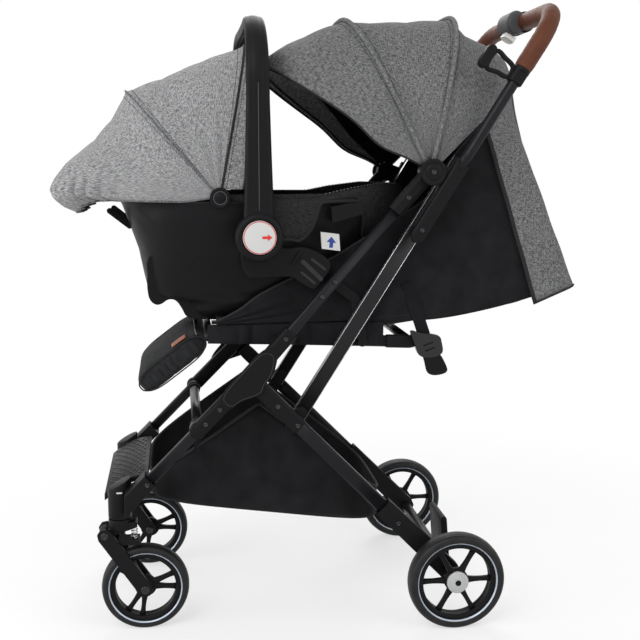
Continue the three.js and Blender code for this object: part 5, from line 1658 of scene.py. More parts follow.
@dataclass
class Basket(Assembly):
    """The shopping basket under the seat: one sheet with soft folds."""

    half_x: float = 148.0
    half_y: float = 206.85
    middle_y: float = -88.85
    front_y: float = -295.7
    rear_y: float = 118.0
    top: float = 392.0

    def brim(self, y: Array) -> Array:
        """Height of the basket's edge.

        Args:
            y: Where along the basket.

        Returns:
            The height.
        """
        front = 262 + (self.top - 262) * np.clip((y - self.front_y) / 190.7, 0, 1)
        rear = 214 + (self.top - 214) * np.clip((self.rear_y - y) / 223, 0, 1)
        return np.where(y < -105, front, rear)

    def floor(self, y: Array) -> Array:
        """Height of the basket's floor at a Y."""
        return 222 - 60 * (y - self.front_y) / (self.rear_y - self.front_y)

    def ring(self, level: float, wide: float) -> Array:
        """One level of the basket as a loop of points.

        Args:
            level: 0 at the floor, 1 at the brim.
            wide: Share of the full width.

        Returns:
            The points.
        """
        turn = around(400)
        x = self.half_x * wide * bent(np.cos(turn), 0.4)
        y = self.middle_y + self.half_y * bent(np.sin(turn), 0.4)
        x, y = resample(np.column_stack([x, y]), 176, True).T
        z = self.floor(y) + (self.brim(y) - self.floor(y)) * level
        depth = np.sin(np.pi * min(level, 1.0)) if level > 0 else 0.0
        folds = 2.6 * np.sin(y / 17 + x / 40 + 2.2 * level) + 1.8 * np.sin(y / 9.5 + 3 * level + x / 23)
        hollow = 5.0 * bell(y + 105, 110) * depth
        out = np.sign(x) * np.minimum(np.abs(x) / self.half_x, 1)
        return np.column_stack([x - out * (hollow + np.abs(folds) * depth), y, z])

    def build(self) -> None:
        """Makes the basket with its rolled brim, loops and tabs."""
        levels = [0, 0.04, 0.1, 0.2, 0.32, 0.45, 0.58, 0.7, 0.82, 0.92, 1.0]
        wide = np.interp(levels, [0, 0.12, 0.5, 1], [0.9, 0.98, 1, 0.985])
        walls = [self.ring(a, b) for a, b in zip(levels, wide)]
        middle = walls[0].mean(0)
        floor = []
        for share in (0.02, 0.25, 0.5, 0.75, 0.92):
            row = middle + (walls[0] - middle) * share
            row[:, 2] = self.floor(row[:, 1]) - 3.5 * (1 - share**2)
            floor.append(row)
        cloth = thicken(grid("basket_bag", floor + walls, wrap=True, inside=(0, -90, 260)), 1.4)
        self.add(cloth, BLACK_CLOTH, None, ["basket"])
        brim = self.swept("basket_piping", walls[-1], circle(5, 12), PIPING, None, up=(0, 0.2, 1), loop=True)
        for piece in (cloth, brim):
            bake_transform(piece)
        loop = [(132, 9.4), (132, 11.2), (146, 11.2), (146, 9.4)]
        for sign, side in SIDES:
            name = f"basket_loop_{side}"
            self.turned(name, CROSSBAR, loop, WEBBING, "frame", sign=sign, closed=True, segments=32)
            tail, tab = block((-217, 308), (-205, 350)), block((70, 223), (84, 239))
            self.cut(f"basket_tail_{side}", tail, (143, 146), 0.6, WEBBING, "frame", sign=sign)
            self.cut(f"basket_tab_{side}", tab, (136, 169.7), 0.8, WEBBING, "rear_frame", sign=sign)


@dataclass
class HandleUnit(Assembly):
    """Rails, guides, sleeves, the push handle with its leather grip, and the fold button."""

    reach: float = 338.0
    corner: float = 66.0
    tube_width: float = 19.0
    grip_width: float = 31.0
    grip_start: float = 220.0
    disc_x: float = 207.1
    normal: Point = (0, HANDLE_RUN[1], -HANDLE_RUN[0])

    def u_path(self, start: float) -> Array:
        """Points along the U of the handle from its left to its right end."""
        half = half_bow(HANDLE_X, start, self.reach, self.corner, (10, 12, 10))
        return both_halves(np.array([(x, *handle_at(a)) for x, a in half]))

    def build(self) -> None:
        """Makes the handle's pieces."""
        for sign, side in SIDES:
            self.rail(sign, side)
            self.guide(sign, side)
            self.sleeve(sign, side)
            self.bracket(sign, side)
        self.grip()
        self.button()

    def grip(self) -> None:
        """The handle's tube with its leather grip, the seam inside it and the end collars."""
        section = circle(self.tube_width, 28)
        self.swept("handle_tube", self.u_path(30), section, TUBE, "handle", ["push_handle"], up=self.normal)
        path = resample(self.u_path(self.grip_start), 150)
        swell = 1 + 0.012 * np.sin(np.arange(150) * 1.9) + 0.008 * np.sin(np.arange(150) * 0.71)
        swell[:3] *= (0.9, 0.95, 0.99)
        swell[-3:] *= (0.99, 0.95, 0.9)
        self.swept(
            "leather_grip", path, circle(self.grip_width, 36), LEATHER, "handle", ["handle_grip"], up=self.normal,
            scale=np.column_stack([swell, swell]))
        inner = path + np.array(self.normal) * 15.6
        self.sewn("grip_stitching", inner[4:-4], LEATHER, "handle", 6, 2.2, 0.6)
        self.swept("grip_seam", inner[3:-3], oval(0.8, 2.2, 2, 8), LEATHER, "handle", up=self.normal)
        for sign, side in SIDES:
            ends = at_x([handle_at(214), handle_at(221.5)], HANDLE_X * sign)
            self.swept(f"grip_collar_{side}", ends, circle(29, 32), PLASTIC, "handle", edge=1.4)

    def rail(self, sign: int, side: str) -> None:
        """A rail: black face between two bright edges, with its rounded foot.

        Args:
            sign: 1 for the left side, -1 for the right.
            side: Name of the side.
        """
        foot = -math.dist(STRUT_PIN, HANDLE_BASE)
        x = RAIL_X * sign
        face = at_x([handle_at(foot + 4), handle_at(48)], x)
        self.swept(f"rail_{side}", face, oval(11.6, 23.6, 7, 36), RAIL, "handle", [f"handle_rail_{side}"])
        for k, across in enumerate((-11.9, 11.9)):
            edge = at_x([handle_at(foot + 6, across), handle_at(48, across)], x)
            self.swept(f"rail_edge_{k}_{side}", edge, oval(12, 1.5, 4, 14), SILVER, "handle")
        tip = bar_outline(handle_at(foot - 6), handle_at(foot + 24), 22.6)
        self.cut(f"rail_foot_{side}", tip, (155.8, 168.2), 2.0, PLASTIC, "handle", sign=sign)
        self.screws(f"rail_screws_{side}", "handle", [(168.2 * sign, *handle_at(foot))], 5.0)

    def guide(self, sign: int, side: str) -> None:
        """The hub disc in steps, the web that holds the rail and the centre screw.

        Args:
            sign: 1 for the left side, -1 for the right.
            side: Name of the side.
        """
        y, z = HUB
        web = [(y - 4, z + 20), handle_at(24, -9), handle_at(-34, -9), (y + 12, z - 20), (y - 10, z - 14)]
        nodes = [f"handle_guide_{side}"]
        self.cut(f"hub_guide_{side}", web, (186.8, 203), 2.4, PLASTIC, "guide", nodes, sign)
        steps = [(-6, 21.9), (0, 21.9), (0.9, 20.8), (0.9, 16.2), (0.2, 15.6), (0.2, 13.6), (1.6, 12.6), (1.9, 9)]
        shape = [(self.disc_x + dx, r) for dx, r in steps + [(1.9, 0), (-6, 0)]]
        self.turned(f"hub_disc_{side}", HUB, shape, PLASTIC, "guide", sign=sign, segments=64)
        self.screws(f"hub_screw_{side}", "guide", [((self.disc_x + 2.0) * sign, *HUB)], 4.6)

    def sleeve(self, sign: int, side: str) -> None:
        """The sleeve over the handle tube's foot, its lip and its pin.

        Args:
            sign: 1 for the left side, -1 for the right.
            side: Name of the side.
        """
        x = HANDLE_X * sign
        share = np.linspace(0, 1, 24)
        path = at_x([handle_at(36 - 150 * s) for s in share], x)
        narrow = np.where(share < 0.9, 1.0, np.sqrt(np.clip(1 - ((share - 0.9) / 0.1) ** 2, 0.02, 1)))
        self.swept(
            f"sleeve_{side}", path, oval(16, 25, 4, 32), PLASTIC, "handle", [f"handle_sleeve_{side}"],
            scale=np.column_stack([0.55 + 0.45 * narrow, narrow]), edge=1.0, sharp=45)
        self.screws(f"sleeve_screw_{side}", "handle", [((HANDLE_X + 8.2) * sign, *handle_at(-90))], 4.2)
        pin = [(168.3, 0), (168.3, 6.5), (196, 6.5), (196, 0)]
        self.turned(f"sleeve_spacer_{side}", handle_at(-90), pin, PLASTIC, "handle", sign=sign, segments=24)
        lip = at_x([handle_at(30), handle_at(37)], x)
        self.swept(f"sleeve_lip_{side}", lip, oval(17.4, 26.4, 4, 32), PLASTIC, "handle", edge=1.2)

    def bracket(self, sign: int, side: str) -> None:
        """The collar on the tube and the slotted arm that holds the canopy's rear edge.

        Args:
            sign: 1 for the left side, -1 for the right.
            side: Name of the side.
        """
        x = HANDLE_X * sign
        collar = at_x([handle_at(193), handle_at(217)], x)
        self.swept(f"canopy_collar_{side}", collar, oval(25, 26, 3.4, 32), PLASTIC, "handle", edge=2.0)
        spots = ((-9, 15), (9, 15), (14, 34), (15, 53), (-15, 53), (-12, 34))
        ring = at_x(smooth([handle_at(205 + a, -b) for a, b in spots], 5, True), x)
        self.swept(f"canopy_arm_{side}", ring, oval(8, 7.5, 4, 16), PLASTIC, "handle", loop=True)
        foot = bar_outline(handle_at(193, -61), handle_at(217, -61), 17)
        span = (HANDLE_X - 8, HANDLE_X + 8)
        self.cut(f"canopy_arm_tip_{side}", foot, span, 2.4, PLASTIC, "handle", sign=sign)

    def button(self) -> None:
        """The grey oval housing on its clamp, and the off-white button under it."""
        y, z = handle_at(self.reach)
        turn = around(48)
        outline = np.column_stack([y - 16 + 18 * np.cos(turn), z - 1 + 21 * np.sin(turn)])
        self.cut("button_case", outline, (-34, 34), 7.0, HOUSING, "handle", ["button_housing"])
        ring = ((2, 15.6), (2, 18.4), (30, 18.4), (31.5, 17.2), (31.5, 15.6))
        for sign, side in SIDES:
            name = f"button_clamp_{side}"
            self.turned(name, (y, z), ring, PLASTIC, "handle", sign=sign, closed=True, segments=40)
        key = soften(self.frame, "fold_button", "fold_key", 1.8)
        key.data.transform(Matrix.Translation((0, -9 * MM, -6 * MM)))
        self.add(key, PALE, "button", ["fold_button"])


def arch(pivot: Pair, degrees: float, reach: float, base: float, half: float, steps: int, square: float) -> Array:
    """An arch from one side to the other over the middle.

    Args:
        pivot: Y and Z of the pivot.
        degrees: Lean of the arch's plane above +Y.
        reach: Distance of its top from the pivot.
        base: Distance of its ends from the pivot.
        half: Half width.
        steps: Number of steps.
        square: 2 for an ellipse, higher for a squarer arch.

    Returns:
        The points in mm.
    """
    turn = np.linspace(0, np.pi, 600)
    dy, dz = direction(degrees)
    r = base + (reach - base) * np.abs(np.sin(turn)) ** (2 / square)
    points = [half * bent(np.cos(turn), 2 / square), pivot[0] + dy * r, pivot[1] + dz * r]
    return resample(np.column_stack(points), steps + 1)


@dataclass(frozen=True)
class RoofSpec:
    name: str
    node: str
    pivot: Pair
    arches: tuple[Pair, ...]
    base: float
    half: float
    welts: tuple[float, float]
    bodies: tuple[str, str]
    bend: tuple[Point, Point]
    flat: Pair
    area: float
    finish: Finish = MELANGE


CANOPY = RoofSpec(
    "sun_canopy", "canopy", HUB,
    ((146.5, 327), (141, 323), (134.7, 312), (129.4, 301), (121.8, 294), (116, 286), (108, 271), (93, 259),
     (84, 265), (77, 270), (70.5, 257), (64, 257), (58, 260), (50, 261), (42, 250)),
    18.6, 185, (116, 77), ("frame", "canopy_front"), ((0, 0.2186, 0.7987), (0, 0.087, 0.7508)),
    (0.78, 0.5), 0.255,
)
HOOD = RoofSpec(
    "carrier_roof", "carrier_hood", HOOD_PIVOT,
    ((68, 256), (79, 258), (86.5, 243), (95.7, 229), (114.7, 218), (130.6, 231), (137, 226), (144.3, 220),
     (155.3, 227), (162.2, 245), (168, 265), (174, 278), (177.5, 283), (180.6, 277), (183.7, 262), (186.5, 240)),
    14, 186, (130.6, 79), ("carrier", "hood_front"), ((0, -0.11, 0.7595), (0, -0.226, 0.7285)), (0.8, 0.44), 0.25,
    HOOD_CLOTH,
)


@dataclass
class Roof(Assembly):
    """A canopy or hood: one continuous sheet over its bows, with welts, hems and lining."""

    spec: RoofSpec = CANOPY
    steps: int = 64
    rows: int = 97
    raised: float = 2.6
    welt_looks: tuple[tuple[Finish, float], ...] = ((MELANGE, 8.0), (MELANGE, 8.0))
    made: list[Object] = field(default_factory=list)

    def reach(self, degrees: float) -> float:
        """Reach of the cloth, with a slight swell at each welt.

        Args:
            degrees: Angle above +Y.

        Returns:
            Distance from the pivot in mm.
        """
        table = np.array(sorted(self.spec.arches))
        swell = sum(3.4 * math.exp(-(((degrees - w) / 1.5) ** 2)) for w in self.spec.welts)
        return float(np.interp(degrees, table[:, 0], table[:, 1])) + swell

    def square(self, degrees: float) -> float:
        """How square the arch at an angle is: the canopy's grow rounder behind its rear welt."""
        s = self.spec
        return float(np.interp(degrees, (s.arches[-1][0], s.welts[-1]), (2.2, 3.0)))

    def row(self, degrees: float, inset: float = 0.0) -> Array:
        """One arch of the cloth, with folds that fan out from the pivot.

        Args:
            degrees: Angle of the arch.
            inset: Distance inward from the cloth in mm.

        Returns:
            The points.
        """
        s = self.spec
        reach = self.reach(degrees) - inset
        points = arch(s.pivot, degrees, reach, s.base, s.half - inset, self.steps, self.square(degrees))
        dy, dz = direction(degrees)
        out = (points[:, 1] - s.pivot[0]) * dy + (points[:, 2] - s.pivot[1]) * dz
        lean = np.radians(degrees + self.lean(degrees, np.abs(points[:, 0]) / s.half, out))
        side = np.clip(np.abs(points[:, 0]) / s.half - 0.72, 0, 1) / 0.28
        fan = bell(out - 80, 60) * side
        points[:, 0] -= np.sign(points[:, 0]) * fan * (1.0 + np.sin(math.radians(degrees) * 22))
        between = min(abs(degrees - w) for w in (*s.welts, s.arches[0][0], s.arches[-1][0]))
        slack = min(between / 12, 1.0) * (1 - side)
        out = out + slack * 1.3 * np.sin(points[:, 0] / 21 + degrees / 5)
        points[:, 1] = s.pivot[0] + np.cos(lean) * out
        points[:, 2] = s.pivot[1] + np.sin(lean) * out
        return points

    def lean(self, degrees: float, share: Array, out: Array) -> Array:
        """How many degrees each point leans out of its arch's plane.

        Args:
            degrees: The arch's own angle.
            share: Distance of each point from the middle, 1 at the side.
            out: Distance of each point from the pivot's axis.

        Returns:
            The extra degrees.
        """
        first, last, welts = self.spec.arches[0][0], self.spec.arches[-1][0], self.spec.welts
        hem = max(degrees - welts[0], 0) / (first - welts[0])
        rear = max(welts[-1] - degrees, 0) / (welts[-1] - last)
        return 7.0 * hem**2 * bell(out - 85, 45) + 2.0 * rear * share**4

    def across(self, degrees: float) -> Point:
        """Direction square to an arch's plane."""
        dy, dz = direction(degrees)
        return 0.0, -dz, dy

    def line(self, name: str, degrees: float, inset: float, width: float, finish: Finish) -> None:
        """Adds a round strip along an arch, which bends with the cloth."""
        path, up = self.row(degrees, inset), self.across(degrees)
        self.made.append(self.swept(name, path, circle(width, 14 if inset < 0 else 12), finish, None, up=up))

    def bow(self, name: str, degrees: float, inset: float, body: str, node: str) -> None:
        """Adds the flat strip of a bow under the cloth, in the place of the CAD one."""
        path, up = self.row(degrees, inset), self.across(degrees)
        self.swept(name, path, oval(4, 8, 5, 16), PLASTIC, body, [node], up=up)

    def build(self) -> None:
        """Makes the roof's pieces."""
        s = self.spec
        first, last = s.arches[0][0], s.arches[-1][0]
        rows = [self.row(d) for d in np.linspace(first, last, self.rows)]
        cloth = grid(s.name, rows, inside=(0, *s.pivot))
        cloth.data.materials.append(BOOK.get(s.finish))
        cloth.data.materials.append(BOOK.get(LINING))
        self.add(thicken(cloth, 2.0), s.finish, None, [s.node])
        for k, (degrees, (finish, width)) in enumerate(zip(s.welts, self.welt_looks)):
            self.line(f"{s.name}_welt_{k}", degrees, -self.raised, width, finish)
        for k, (degrees, finish) in enumerate(((first, PIPING), (last, GREY_PIPING))):
            self.line(f"{s.name}_hem_{k}", degrees, 0.6, 3.6, finish)
        # Stitch rows beside each welt: real stitching, in dark thread that also paints the shade beside the welt.
        for k, degrees in enumerate(w + d for w in s.welts for d in (-2.2, 2.2)):
            path = self.row(degrees, -0.2)
            self.made.append(self.sewn(f"{s.name}_stitch_{k}", path, DARK_THREAD, None, 4.5, 1.7, 0.6))
        self.extra()
        for piece in [cloth, *self.made]:
            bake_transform(piece)

    def extra(self) -> None:
        """What only one kind of roof has."""


@dataclass
class Canopy(Roof):
    """The stroller's canopy, with its bows and the valance inside the front."""

    def extra(self) -> None:
        """Bows, and the grey valance behind the front hem, made in the lighter hood cloth as painted light on the
        canopy's shaded inside.
        """
        for place, degrees in (("front", 144.8), ("middle", 116.5)):
            node = f"canopy_{place}_bow"
            self.bow(f"{node}_strip", degrees, 8.5, f"canopy_{place}", node)
        rows = [self.row(146.0 - 2.4 * k, 5) for k in range(6)]
        # The grey valance is real; its lighter hood cloth is painted light on the shaded inner face of the
        # canopy.
        valance = thicken(grid("canopy_valance", rows, inside=(0, *HUB)), 1.4)
        self.made.append(self.add(valance, HOOD_CLOTH, None))


@dataclass
class CarrierHood(Roof):
    """The infant seat's hood, with its gathered front hem and knobs."""

    spec: RoofSpec = HOOD
    steps: int = 220
    raised: float = 0.8
    welt_looks: tuple[tuple[Finish, float], ...] = ((GREY_PIPING, 3.4), (PIPING, 4.0))

    def square(self, degrees: float) -> float:
        """Every arch of the hood is equally square."""
        return 3.0

    def lean(self, degrees: float, share: Array, out: Array) -> Array:
        """The sides of the front hem stay level while its middle curls under.

        Args:
            degrees: The arch's own angle.
            share: Distance of each point from the middle, 1 at the side.
            out: Distance of each point from the pivot's axis.

        Returns:
            The extra degrees.
        """
        under = max(degrees - 179.0, 0)
        ramp = np.clip((share - 0.3) / 0.58, 0, 1)
        drop = np.degrees(np.arctan2(7.0, np.maximum(out, 40.0))) * np.clip(out / 60, 0, 1) * under / 7.5
        return ramp**2 * (3 - 2 * ramp) * (drop - under)

    def row(self, degrees: float, inset: float = 0.0) -> Array:
        """An arch, gathered by the elastic of the front hem, and a straight flap behind the rear seam.

        Args:
            degrees: Angle of the arch.
            inset: Distance inward from the cloth in mm.

        Returns:
            The points.
        """
        seam = self.spec.welts[-1]
        points = super().row(max(degrees, seam), inset)
        points[:, 1] += max(seam - degrees, 0) * 3.2
        out = np.hypot(points[:, 1] - self.spec.pivot[0], points[:, 2] - self.spec.pivot[1])
        near = np.clip((degrees - 166) / 12, 0, 1) ** 1.2 * np.clip((out - 150) / 40, 0, 1)
        turn = np.linspace(-1, 1, len(points)) * math.pi * 15
        pleat = np.abs(np.sin(turn + 0.6 * np.sin(turn * 0.37) + degrees / 60)) ** 0.8
        fold = near * (12.0 + 3.0 * np.sin(turn * 0.53)) * (pleat - 0.75)
        run = np.column_stack([np.gradient(points[:, 0]), np.gradient(out)])
        run /= np.maximum(np.linalg.norm(run, axis=1), 1e-6)[:, None]
        dy, dz = direction(degrees)
        points[:, 0] += run[:, 1] * fold
        points[:, 1] -= dy * run[:, 0] * fold
        points[:, 2] -= dz * run[:, 0] * fold
        return points

    def extra(self) -> None:
        """The bow, the knobs at the pivots and the strap tabs."""
        self.bow("hood_bow_strip", 132.0, 6.5, "hood_front", "carrier_hood_bow")
        knob = [(180, 0), (180, 15), (186.4, 15), (187.2, 16.8), (189.4, 16.8), (190.3, 15.6), (190.4, 12)]
        knob += [(189.6, 11.4), (189.6, 9.6), (190.4, 9), (190.6, 0)]
        ring = [(189.7, 9.7), (190.2, 9.7), (190.2, 11.2), (189.7, 11.2)]
        for sign, side in SIDES:
            self.turned(f"hood_knob_{side}", HOOD_PIVOT, knob, PLASTIC, "carrier", sign=sign)
            self.turned(f"hood_knob_ring_{side}", HOOD_PIVOT, ring, HOUSING, "carrier", sign=sign, closed=True)
            tab = bar_outline((-352, 719), (-319, 693), 10)
            self.cut(f"hood_tab_{side}", tab, (58, 62), 0.8, WEBBING, "carrier", sign=sign)


@dataclass
class Carrier(Assembly):
    """The infant seat: shell, cover, liner, carrying handle and labels."""

    front: tuple[Pair, ...] = (
        (541, -222), (560, -229), (569, -238), (573, -284), (582, -290), (613, -297), (654, -305), (699, -321),
        (730, -333), (738, -335))
    rear: tuple[Pair, ...] = ((541, 52), (560, 80), (584, 100), (649, 136), (708, 160), (738, 166))
    half: tuple[Pair, ...] = ((541, 108), (552, 120), (584, 137), (649, 159), (708, 173.5), (738, 177))
    brim: float = 738.0
    arm_x: float = 208.0
    arm_top: float = 1033.0
    arm_corner: float = 105.0

    def ring(self, z: float, offset: float = 0.0, count: int = 160, rise: float = 0.0) -> Array:
        """A level of the shell as a loop, offset outward.

        Args:
            z: Height that sets the size.
            offset: Distance outward in mm.
            count: Number of points.
            rise: How far the loop lies above that height.

        Returns:
            The points.
        """
        front = float(np.interp(z, *zip(*self.front))) - offset
        rear = float(np.interp(z, *zip(*self.rear))) + offset
        half = float(np.interp(z, *zip(*self.half))) + offset
        turn = around(500)
        square = np.where(np.sin(turn) < 0, np.interp(z, (541, 610, 700, 738), (5.0, 4.6, 3.2, 2.7)), 2.7)
        s, c = bent(np.sin(turn), 2 / square), bent(np.cos(turn), 2 / square)
        y = (front + rear) / 2 + (rear - front) / 2 * s
        loop = resample(np.column_stack([half * c * (1 - 0.2 * s), y]), count, True)
        return np.column_stack([loop, np.full(count, z + rise)])

    def build(self) -> None:
        """Makes the infant seat's pieces."""
        self.shell()
        for sign, side in SIDES:
            self.fittings(sign, side)
        self.cover()
        self.liner()
        self.handle()
        for sign, side in SIDES:
            self.label(sign, side)
            self.guard(sign, side)

    def crease(self, obj: Object, start: Pair, end: Pair, depth: float, width: float) -> None:
        """Presses a soft groove into both sides of the shell.

        Args:
            obj: The shell.
            start: One end of the groove.
            end: Its other end.
            depth: Depth in mm.
            width: Half width in mm.
        """
        p = points_of(obj)
        a, b = np.array(start), np.array(end)
        run = b - a
        t = np.clip(((p[:, 1:] - a) @ run) / np.dot(run, run), 0, 1)
        gap = np.linalg.norm(p[:, 1:] - (a + t[:, None] * run), axis=1)
        side = np.clip((np.abs(p[:, 0]) - 60) / 30, 0, 1)
        p[:, 0] -= np.sign(p[:, 0]) * depth * side * bell(gap, width)
        move_points(obj, p)

    def facet(self, obj: Object, start: Pair, end: Pair, slope: float, most: float) -> None:
        """Turns the shell's sides inward below a slanting line.

        Args:
            obj: The shell.
            start: Upper end of the line.
            end: Lower end of the line.
            slope: Inward shift per mm below the line.
            most: Largest shift in mm.
        """
        p = points_of(obj)
        run = unit(start, end)
        below = -(p[:, 2] - start[1]) * run[0] + (p[:, 1] - start[0]) * run[1]
        along = (p[:, 1] - start[0]) * run[0] + (p[:, 2] - start[1]) * run[1]
        share = np.clip((math.dist(start, end) - along) / 60, 0, 1) * np.clip((np.abs(p[:, 0]) - 60) / 30, 0, 1)
        p[:, 0] -= np.sign(p[:, 0]) * share * most * (1 - np.exp(-slope * np.maximum(below, 0) / most))
        move_points(obj, p)

    def shell(self) -> None:
        """The shell with its rolled rim and its creases."""
        levels = np.concatenate([np.linspace(541, 570, 9), np.linspace(576, 730, 34), [734, self.brim]])
        rows = [self.ring(z, 2.5 * max((z - 730) / 8, 0)) for z in levels]
        base = self.ring(541)
        middle = base.mean(0)
        bottom = [middle + (base - middle) * s for s in (0.02, 0.3, 0.6, 0.85)]
        inner = [self.ring(z, -4.0) for z in levels[::-1] if z > 548]
        obj = grid("carrier_bucket", bottom + rows + inner, wrap=True)
        line = ((-318, 724), (-150, 588))
        self.crease(obj, *line, 4.2, 7)
        self.crease(obj, (-208, 732), (-132, 712), 0.9, 1.6)
        self.facet(obj, *line, 0.4, 12.0)
        obj.data.shade_smooth()
        self.add(obj, PLASTIC, "carrier", ["carrier_shell"])

    def fittings(self, sign: int, side: str) -> None:
        """What one side of the shell carries: the runner, its hole, the cover's slot and the handle's boss.

        Args:
            sign: 1 for the left side, -1 for the right.
            side: Name of the side.
        """
        foot = [(-278, 650), (-289, 612), (-289, 582), (-284, 568), (-275, 562), (-266, 564), (-257, 570)]
        foot += [(-248, 571), (-240, 566), (-232, 553), (-227, 543), (-218, 537), (-190, 535), (-182, 546)]
        foot += [(-100, 549), (-60, 560), (-110, 610), (-180, 640)]
        runner = plate(f"carrier_runner_{side}", smooth(foot, 4, True), 96 * sign, 113 * sign, 3.0)
        for corner in runner.data.vertices:
            corner.co.x += sign * 0.00022 * (corner.co.z / MM - 545) * (1 if abs(corner.co.x) > 0.1 else 0.2)
        self.add(runner, PLASTIC, "carrier")
        hole = [(112, 4.6), (114.2, 4.6), (114.2, 3.2), (111, 3.2)]
        name = f"carrier_hole_{side}"
        self.turned(name, (-180, 548), hole, GLOSS, "carrier", sign=sign, closed=True, segments=24)
        slot = [(16, 728), (48, 734), (68, 736), (71, 716), (18, 701)]
        self.cut(f"cover_slot_{side}", slot, (158, 173.5), 0.8, PLASTIC, "carrier", sign=sign)
        boss = [(150, 0), (150, 30), (188, 28), (196, 26), (196.6, 24), (196.6, 0)]
        self.turned(f"carrier_boss_{side}", CARRIER_HUB, boss, PLASTIC, "carrier", sign=sign)

    def cover(self) -> None:
        """The cloth cover, drawn over the rim behind the hubs and bound along its lower edge."""
        loop = self.ring(self.brim, 0, 240)
        keep = np.nonzero(loop[:, 1] > -88)[0]
        gap = np.nonzero(np.diff(keep) > 1)[0]
        keep = np.roll(keep, -int(gap[0] + 1)) if len(gap) else keep
        spots = [(-90, 676), (-50, 674), (-36, 671), (-23, 680), (-13, 697), (-8, 717), (-3, 731), (11, 741)]
        spots += [(51, 746), (65, 739), (73, 726), (77, 706), (80, 684), (90, 668), (130, 662), (200, 662)]
        low = np.interp(loop[keep, 1], *zip(*spots))
        rows = []
        for share in (0.0, 0.2, 0.4, 0.6, 0.8, 1.0):
            height = np.minimum(low + (736 - low) * share, 736 + 12 * share)
            rows.append(np.array([self.ring(z, 2.6 + 0.8 * share, 240)[k] for k, z in zip(keep, height)]))
        swell = np.interp(loop[keep, 1], [-90, -20, 60, 120, 200], [4, 2, 18, 26, 24])
        steps = [(3.2, 0.5), (1.0, 0.9), (-5, 1.05), (-12, 1.0), (-16, 0.6), (-18, -0.6), (-19, -2.0)]
        for offset, rise in steps:
            row = self.ring(self.brim, offset, 240)[keep]
            row[:, 2] += swell * rise
            rows.append(row)
        cloth = thicken(grid("carrier_cover", rows, inside=(0, -60, 640)), 1.6, 0)
        self.add(cloth, SEAT_CLOTH, "carrier")
        line = smooth(rows[0], 3)
        edge = self.swept("carrier_cover_piping", line, circle(6, 12), PIPING, "carrier", up=(0.3, 0.2, 1))
        stitches = self.sewn("carrier_cover_stitch", rows[9] + (0, 0, 2.0), THREAD, "carrier", 7, 1.8, 0.4)

    def liner(self) -> None:
        """The quilted liner inside the shell."""
        lip = self.ring(self.brim, -18.5, 170, 11)
        rows = [self.quilted(lip, self.brim + 11)]
        for z in np.linspace(553, self.brim, 38)[::-1]:
            row = self.quilted(self.ring(z, -18.5, 170), z)
            row[:, 2] += 5.0 * (1 - (z - 541) / 197)
            rows.append(row)
        middle = rows[-1].mean(0)
        floor = [middle + (rows[-1] - middle) * s for s in (0.8, 0.5, 0.2, 0.02)]
        outer = [self.ring(700, -6.5, 170), self.ring(self.brim, -6.5, 170), self.ring(self.brim, -6.5, 170, 11)]
        obj = grid("carrier_inlay", outer + rows + floor, wrap=True, inside=(0, -80, 2000))
        self.add(obj, SEAT_CLOTH, "carrier", ["carrier_liner"])

    def quilted(self, row: Array, z: float) -> Array:
        """A loop of the liner, drawn inward between the lines of its quilting.

        Args:
            row: The plain loop.
            z: Height that sets the pattern.

        Returns:
            The loop.
        """
        turn = around(len(row)) * 13
        quilt = np.abs(np.sin(turn + z / 16)) ** 0.6 * np.abs(np.sin(turn - z / 16)) ** 0.6
        inward = row[:, :2].mean(0) - row[:, :2]
        inward /= np.linalg.norm(inward, axis=1)[:, None]
        row[:, :2] += inward * (2.6 * quilt)[:, None]
        return row

    def handle(self) -> None:
        """The carrying handle: two flat arms, a round bar, the hub discs and a thin grey line down each arm's
        outer face, a painted highlight.
        """
        y, z = CARRIER_HUB
        bow = half_bow(self.arm_x, z, self.arm_top, self.arm_corner, (14, 14, 9))
        whole = both_halves(resample(np.column_stack([bow[:, 0], np.full(len(bow), y), bow[:, 1]]), 60))
        share = np.minimum(np.arange(len(whole)), len(whole) - 1 - np.arange(len(whole))) / 59
        width = 54 - 16 * np.clip(share / 0.42, 0, 1) ** 0.7 - 8 * np.clip((share - 0.5) / 0.4, 0, 1)
        turn = around(44)
        section = np.column_stack([17.5 * bent(np.cos(turn), 0.75), 9 * bent(np.sin(turn), 0.75)])
        section[:, 1] -= np.sign(section[:, 1]) * 0.9 * bell(np.abs(section[:, 0]) - 9, 2.2)
        self.swept(
            "carrying_bar", whole, section, PLASTIC, "carrying_handle", ["carrier_handle"], up=(0, 1, 0),
            scale=np.column_stack([width / 35, np.ones(len(whole))]))
        hub = [(197.2, 0), (197.2, 37), (199, 39), (214, 39.4), (218, 38), (220.4, 34.5), (221, 31)]
        hub += [(220.6, 29.4), (219.2, 28.6), (216.4, 28.4), (216.4, 0)]
        for sign, side in SIDES:
            # A thin grey line down the outer face of each arm: a painted highlight.
            line = [(217.0 * sign, y, height) for height in np.linspace(724, 925, 16)]
            self.swept(
                f"carrying_ridge_{side}", line, circle(1.3, 8), HOUSING, "carrying_handle", up=(0, 1, 0))
            name = f"carrying_hub_{side}"
            self.turned(name, CARRIER_HUB, hub, PLASTIC, "carrying_handle", sign=sign, segments=72)

